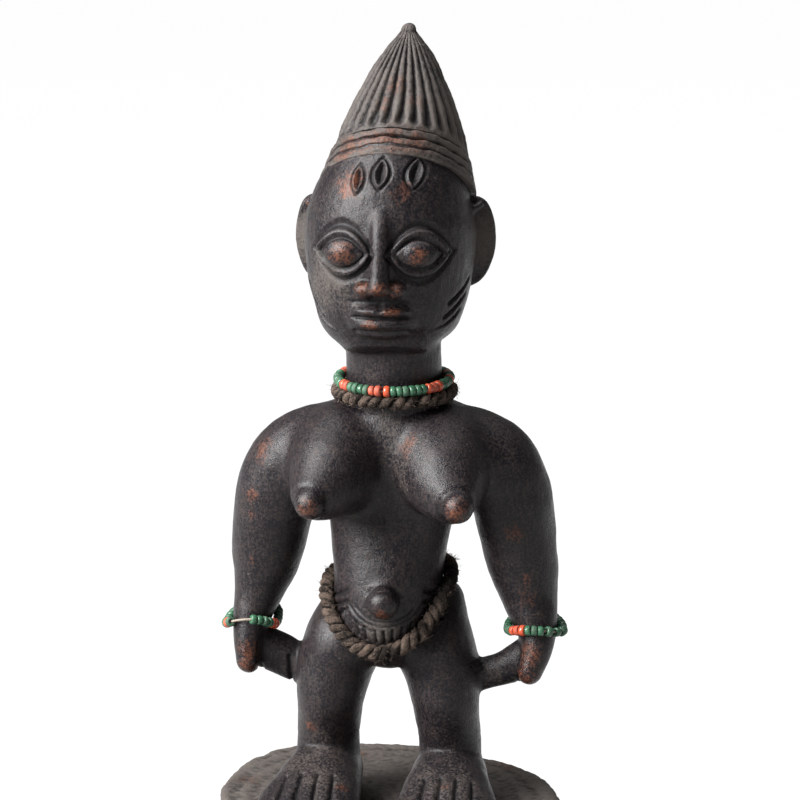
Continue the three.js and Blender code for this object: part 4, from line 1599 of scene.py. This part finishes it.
class HewBase(bpy.types.Operator):
    """Hew the round base"""

    bl_idname = "ibeji.hew_base"
    bl_label = "Hew base"

    def execute(self, context):
        radius = BASE_RADIUS / PART
        rim = BASE_RIM / PART
        top = BASE_THICKNESS / PART
        corners = [  # half the base's outline, as place across and height
            (0, -top),
            (radius - rim / 2, -top),
            (radius, -top + rim / 2),
            (radius, -rim),
            (radius - 0.15 * rim, -0.5 * rim),
            (radius - rim / 2, -0.1 * rim),
            (radius - rim, 0),
            (0, 0),
        ]
        form = bmesh.new()
        verts = [form.verts.new((x, 0, z)) for x, z in corners]
        edges = [form.edges.new(pair) for pair in zip(verts, verts[1:])]
        turned(form, verts + edges, 96)
        bmesh.ops.remove_doubles(form, verts=form.verts, dist=0.01)
        block = Block("hewn_base", [form]).fuse(context.scene.ibeji_carving.base_grain)
        angle = np.arctan2(block.points[:, 1], block.points[:, 0])
        block.points[:, :2] *= wander(angle)[:, None]
        underside = block.points[:, 2] < -top + 0.3
        chops = chopped(block.points, CHOPS, random.Random(CHOP_SEED))
        block.points = np.where(underside[:, None], block.points, chops)
        block.soften(1)
        points = block.points
        out = np.linalg.norm(points[:, :2], axis=1)
        marked = rise_between(points[:, 2], -top + 0.4, -top + 1.2)
        rings = np.sin(out * 2.3 + 1.6 * np.sin(2 * angle) + 0.6 * np.sin(5 * angle))
        outer = rise_between(points[:, 2], -0.8, -0.2) * rise_between(out, 0.55 * radius, 0.9 * radius)
        rough = tool_marks(points, (2.4, 0.16), (0.8, 0.11))
        block.cut(marked * rough + 0.09 * outer * rings)
        block.thin(context.scene.ibeji_carving.most_triangles)
        mask_wood(block, BASE_WEAR, 0.7, dusty=1.1)
        block.finish()
        return {"FINISHED"}


def above(parts):
    """The height in metres of a height in parts"""
    return BASE_THICKNESS + parts * PART


class LayCords(bpy.types.Operator):
    """Lay the twisted cords round the neck and the hips"""

    bl_idname = "ibeji.lay_cords"
    bl_label = "Lay cords"

    def execute(self, context):
        trim = context.scene.ibeji_trim
        body = skin_of("carved_body")
        head = skin_of("carved_head")
        neck_height = above(NECK_FOOT) + trim.neck_cord / 2
        neck = Loop([head, body], NECK_MIDDLE, lambda angle: neck_height, trim.neck_cord / 2)
        waist = Loop(
            [body],
            WAIST_MIDDLE,
            self.waist_height,
            trim.waist_cord / 2,
            points=96,
            slack=self.waist_slack,
        )
        for name, loop, diameter, lay, knot_at, frayed_at, seed in (
            ("neck_cord", neck, trim.neck_cord, trim.neck_lay, 0.25, (0.27,), 3),
            ("waist_cord", waist, trim.waist_cord, trim.waist_lay, 0.13, (0.07,), 5),
        ):
            mesh = laid_cord(name, loop, diameter, lay, knot_at, frayed_at, seed)
            piece_of(name + "_laid", mesh, [twisted_fibre(), loose_fibre()], name)
        return {"FINISHED"}

    @staticmethod
    def waist_slack(angle):
        """Pressed a little into the hips at each side"""
        return -0.5 * MM * abs(math.cos(angle))

    @staticmethod
    def waist_height(angle):
        """Low in front, rising to the back, and a little higher at her left"""
        back = math.sin(angle)
        return above(WAIST_HEIGHT) + PART * (0.8 * math.cos(angle) + back * (4.0 - 3.3 * back))


class StringBeads(bpy.types.Operator):
    """String the beads at the neck and the wrists"""

    bl_idname = "ibeji.string_beads"
    bl_label = "String beads"

    def execute(self, context):
        trim = context.scene.ibeji_trim
        glass = [green_glass(), orange_glass(), thread_fibre()]
        head = skin_of("carved_head")
        body = skin_of("carved_body")
        height = above(NECK_FOOT) + trim.neck_cord + trim.bead / 2 + CLEARANCE
        loop = Loop(
            [head],
            NECK_MIDDLE,
            lambda angle: height - 0.35 * PART * max(-math.sin(angle), 0),
            trim.bead / 2,
            slack=lambda angle: (0.4 + 1.7 * max(-math.sin(angle), 0)) * MM,
        )
        orders = ("OOGGGGOO-OGGGGGGOOOgggggO", "GGGOGGGGGGOOGG", "GG")
        mesh = threaded("neck_beads", loop, orders, 0.582, trim, 7)
        piece_of("neck_beads", mesh, glass, "neck_bead_string")
        for side, name, node, droop, orders, start in (
            (-1, "right_wrist_string", "right_wrist_beads", 0.7, ("GGGGOOg", "G", "BOG_____"), 0.79),
            (1, "left_wrist_string", "left_wrist_beads", 0.45, ("BOOOGGG-G_G_", "G", "G"), 0.588),
        ):
            wrist = ((CHEST_MIDDLE + side * WRIST_ACROSS) * PART, 0.5 * PART)

            def height_at(angle, droop=droop):
                return above(WRIST_HEIGHT) - droop * PART * math.cos(2 * angle)

            loop = Loop([body], wrist, height_at, trim.bead / 2, points=48)
            mesh = threaded(name, loop, orders, start, trim, 11 + side)
            piece_of(name, mesh, glass, node)
        return {"FINISHED"}


FLOOR_RADIUS = 8
LIT_HEIGHT = 0.17  # where the lights are aimed
SENSOR_WIDTH = 36


class SetStage(bpy.types.Operator):
    """Set the pale floor, the soft lights and the camera"""

    bl_idname = "ibeji.set_stage"
    bl_label = "Set stage"

    def execute(self, context):
        stage = context.scene.ibeji_stage
        self.floor(stage)
        self.camera(stage)
        self.soft_light("key", Vector((-0.9, -0.6, 0.66)), (0.75, 1.0), stage.key)
        self.soft_light("top", Vector((-0.15, 0.1, 1.1)), (1.0, 1.0), stage.top)
        world = bpy.data.worlds.new("grey_room")
        world.use_nodes = True
        background = world.node_tree.nodes["Background"]
        background.inputs["Color"].default_value = (1, 1, 1, 1)
        background.inputs["Strength"].default_value = stage.room
        context.scene.world = world
        context.scene.view_settings.view_transform = "Standard"
        return {"FINISHED"}

    def floor(self, stage):
        """A wide sheet of white paper, bright enough that only the faintest shadow shows on it"""
        form = bmesh.new()
        bmesh.ops.create_circle(form, cap_ends=True, segments=96, radius=FLOOR_RADIUS)
        floor = added("studio_floor", mesh_of("studio_floor", form))
        paint = Paint("studio_paper")
        paint.finish((0.04, 0.04, 0.04, 1), 0.9, Specular_IOR_Level=0, Emission_Strength=stage.paper)
        paint.shader.inputs["Emission Color"].default_value = (1, 1, 1, 1)
        floor.data.materials.append(paint.material)
        floor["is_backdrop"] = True

    def camera(self, stage):
        """A long lens a little to her left, looking down"""
        data = bpy.data.cameras.new("photograph")
        data.lens = stage.lens
        data.sensor_width = SENSOR_WIDTH
        data.clip_end = 50
        camera = added("photograph", data)
        turn = stage.azimuth
        camera.location = (stage.distance * math.sin(turn), -stage.distance * math.cos(turn), stage.height)
        camera.rotation_euler = (math.pi / 2 - stage.pitch, 0, turn - stage.aside)
        bpy.context.scene.camera = camera

    def soft_light(self, name, away, sizes, power):
        """A soft box this far away from the lit height, and aimed at it"""
        data = bpy.data.lights.new(name, "AREA")
        data.shape = "RECTANGLE"
        data.size, data.size_y = sizes
        data.energy = power
        lamp = added(name, data)
        lamp.location = Vector((0, 0, LIT_HEIGHT)) + away
        lamp.rotation_euler = (-away).to_track_quat("-Z", "Y").to_euler()


class IbejiPanel(bpy.types.Panel):
    """Lists the settings and the steps"""

    bl_idname = "VIEW3D_PT_ibeji"
    bl_label = "Ibeji Figure"
    bl_space_type = "VIEW_3D"
    bl_region_type = "UI"
    bl_category = "Ibeji"

    def draw(self, context):
        for group in SETTINGS:
            box = self.layout.box()
            box.label(text=group.__doc__)
            for name in group.__annotations__:
                box.prop(getattr(context.scene, SETTINGS[group]), name)
        for step in STEPS:
            self.layout.operator(step.bl_idname)


SETTINGS = {
    IbejiCarving: "ibeji_carving",
    IbejiFinish: "ibeji_finish",
    IbejiTrim: "ibeji_trim",
    IbejiStage: "ibeji_stage",
}
STEPS = (CarveHead, CarveHair, CarveBody, HewBase, LayCords, StringBeads, SetStage)
CLASSES = (*SETTINGS, *STEPS, IbejiPanel)


def register():
    for cls in CLASSES:
        bpy.utils.register_class(cls)
    for group, name in SETTINGS.items():
        setattr(bpy.types.Scene, name, PointerProperty(type=group))


def unregister():
    for name in SETTINGS.values():
        delattr(bpy.types.Scene, name)
    for cls in reversed(CLASSES):
        bpy.utils.unregister_class(cls)


def plain(box):
    """A box's corners as plain lists of numbers"""
    return [[float(value) for value in corner] for corner in box]


def main():
    register()
    for step in STEPS:
        family, name = step.bl_idname.split(".")
        getattr(getattr(bpy.ops, family), name)()
    {"cad": plain(CAD_BOX), "visual": plain(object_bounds())}


if __name__ == "__main__":
    main()
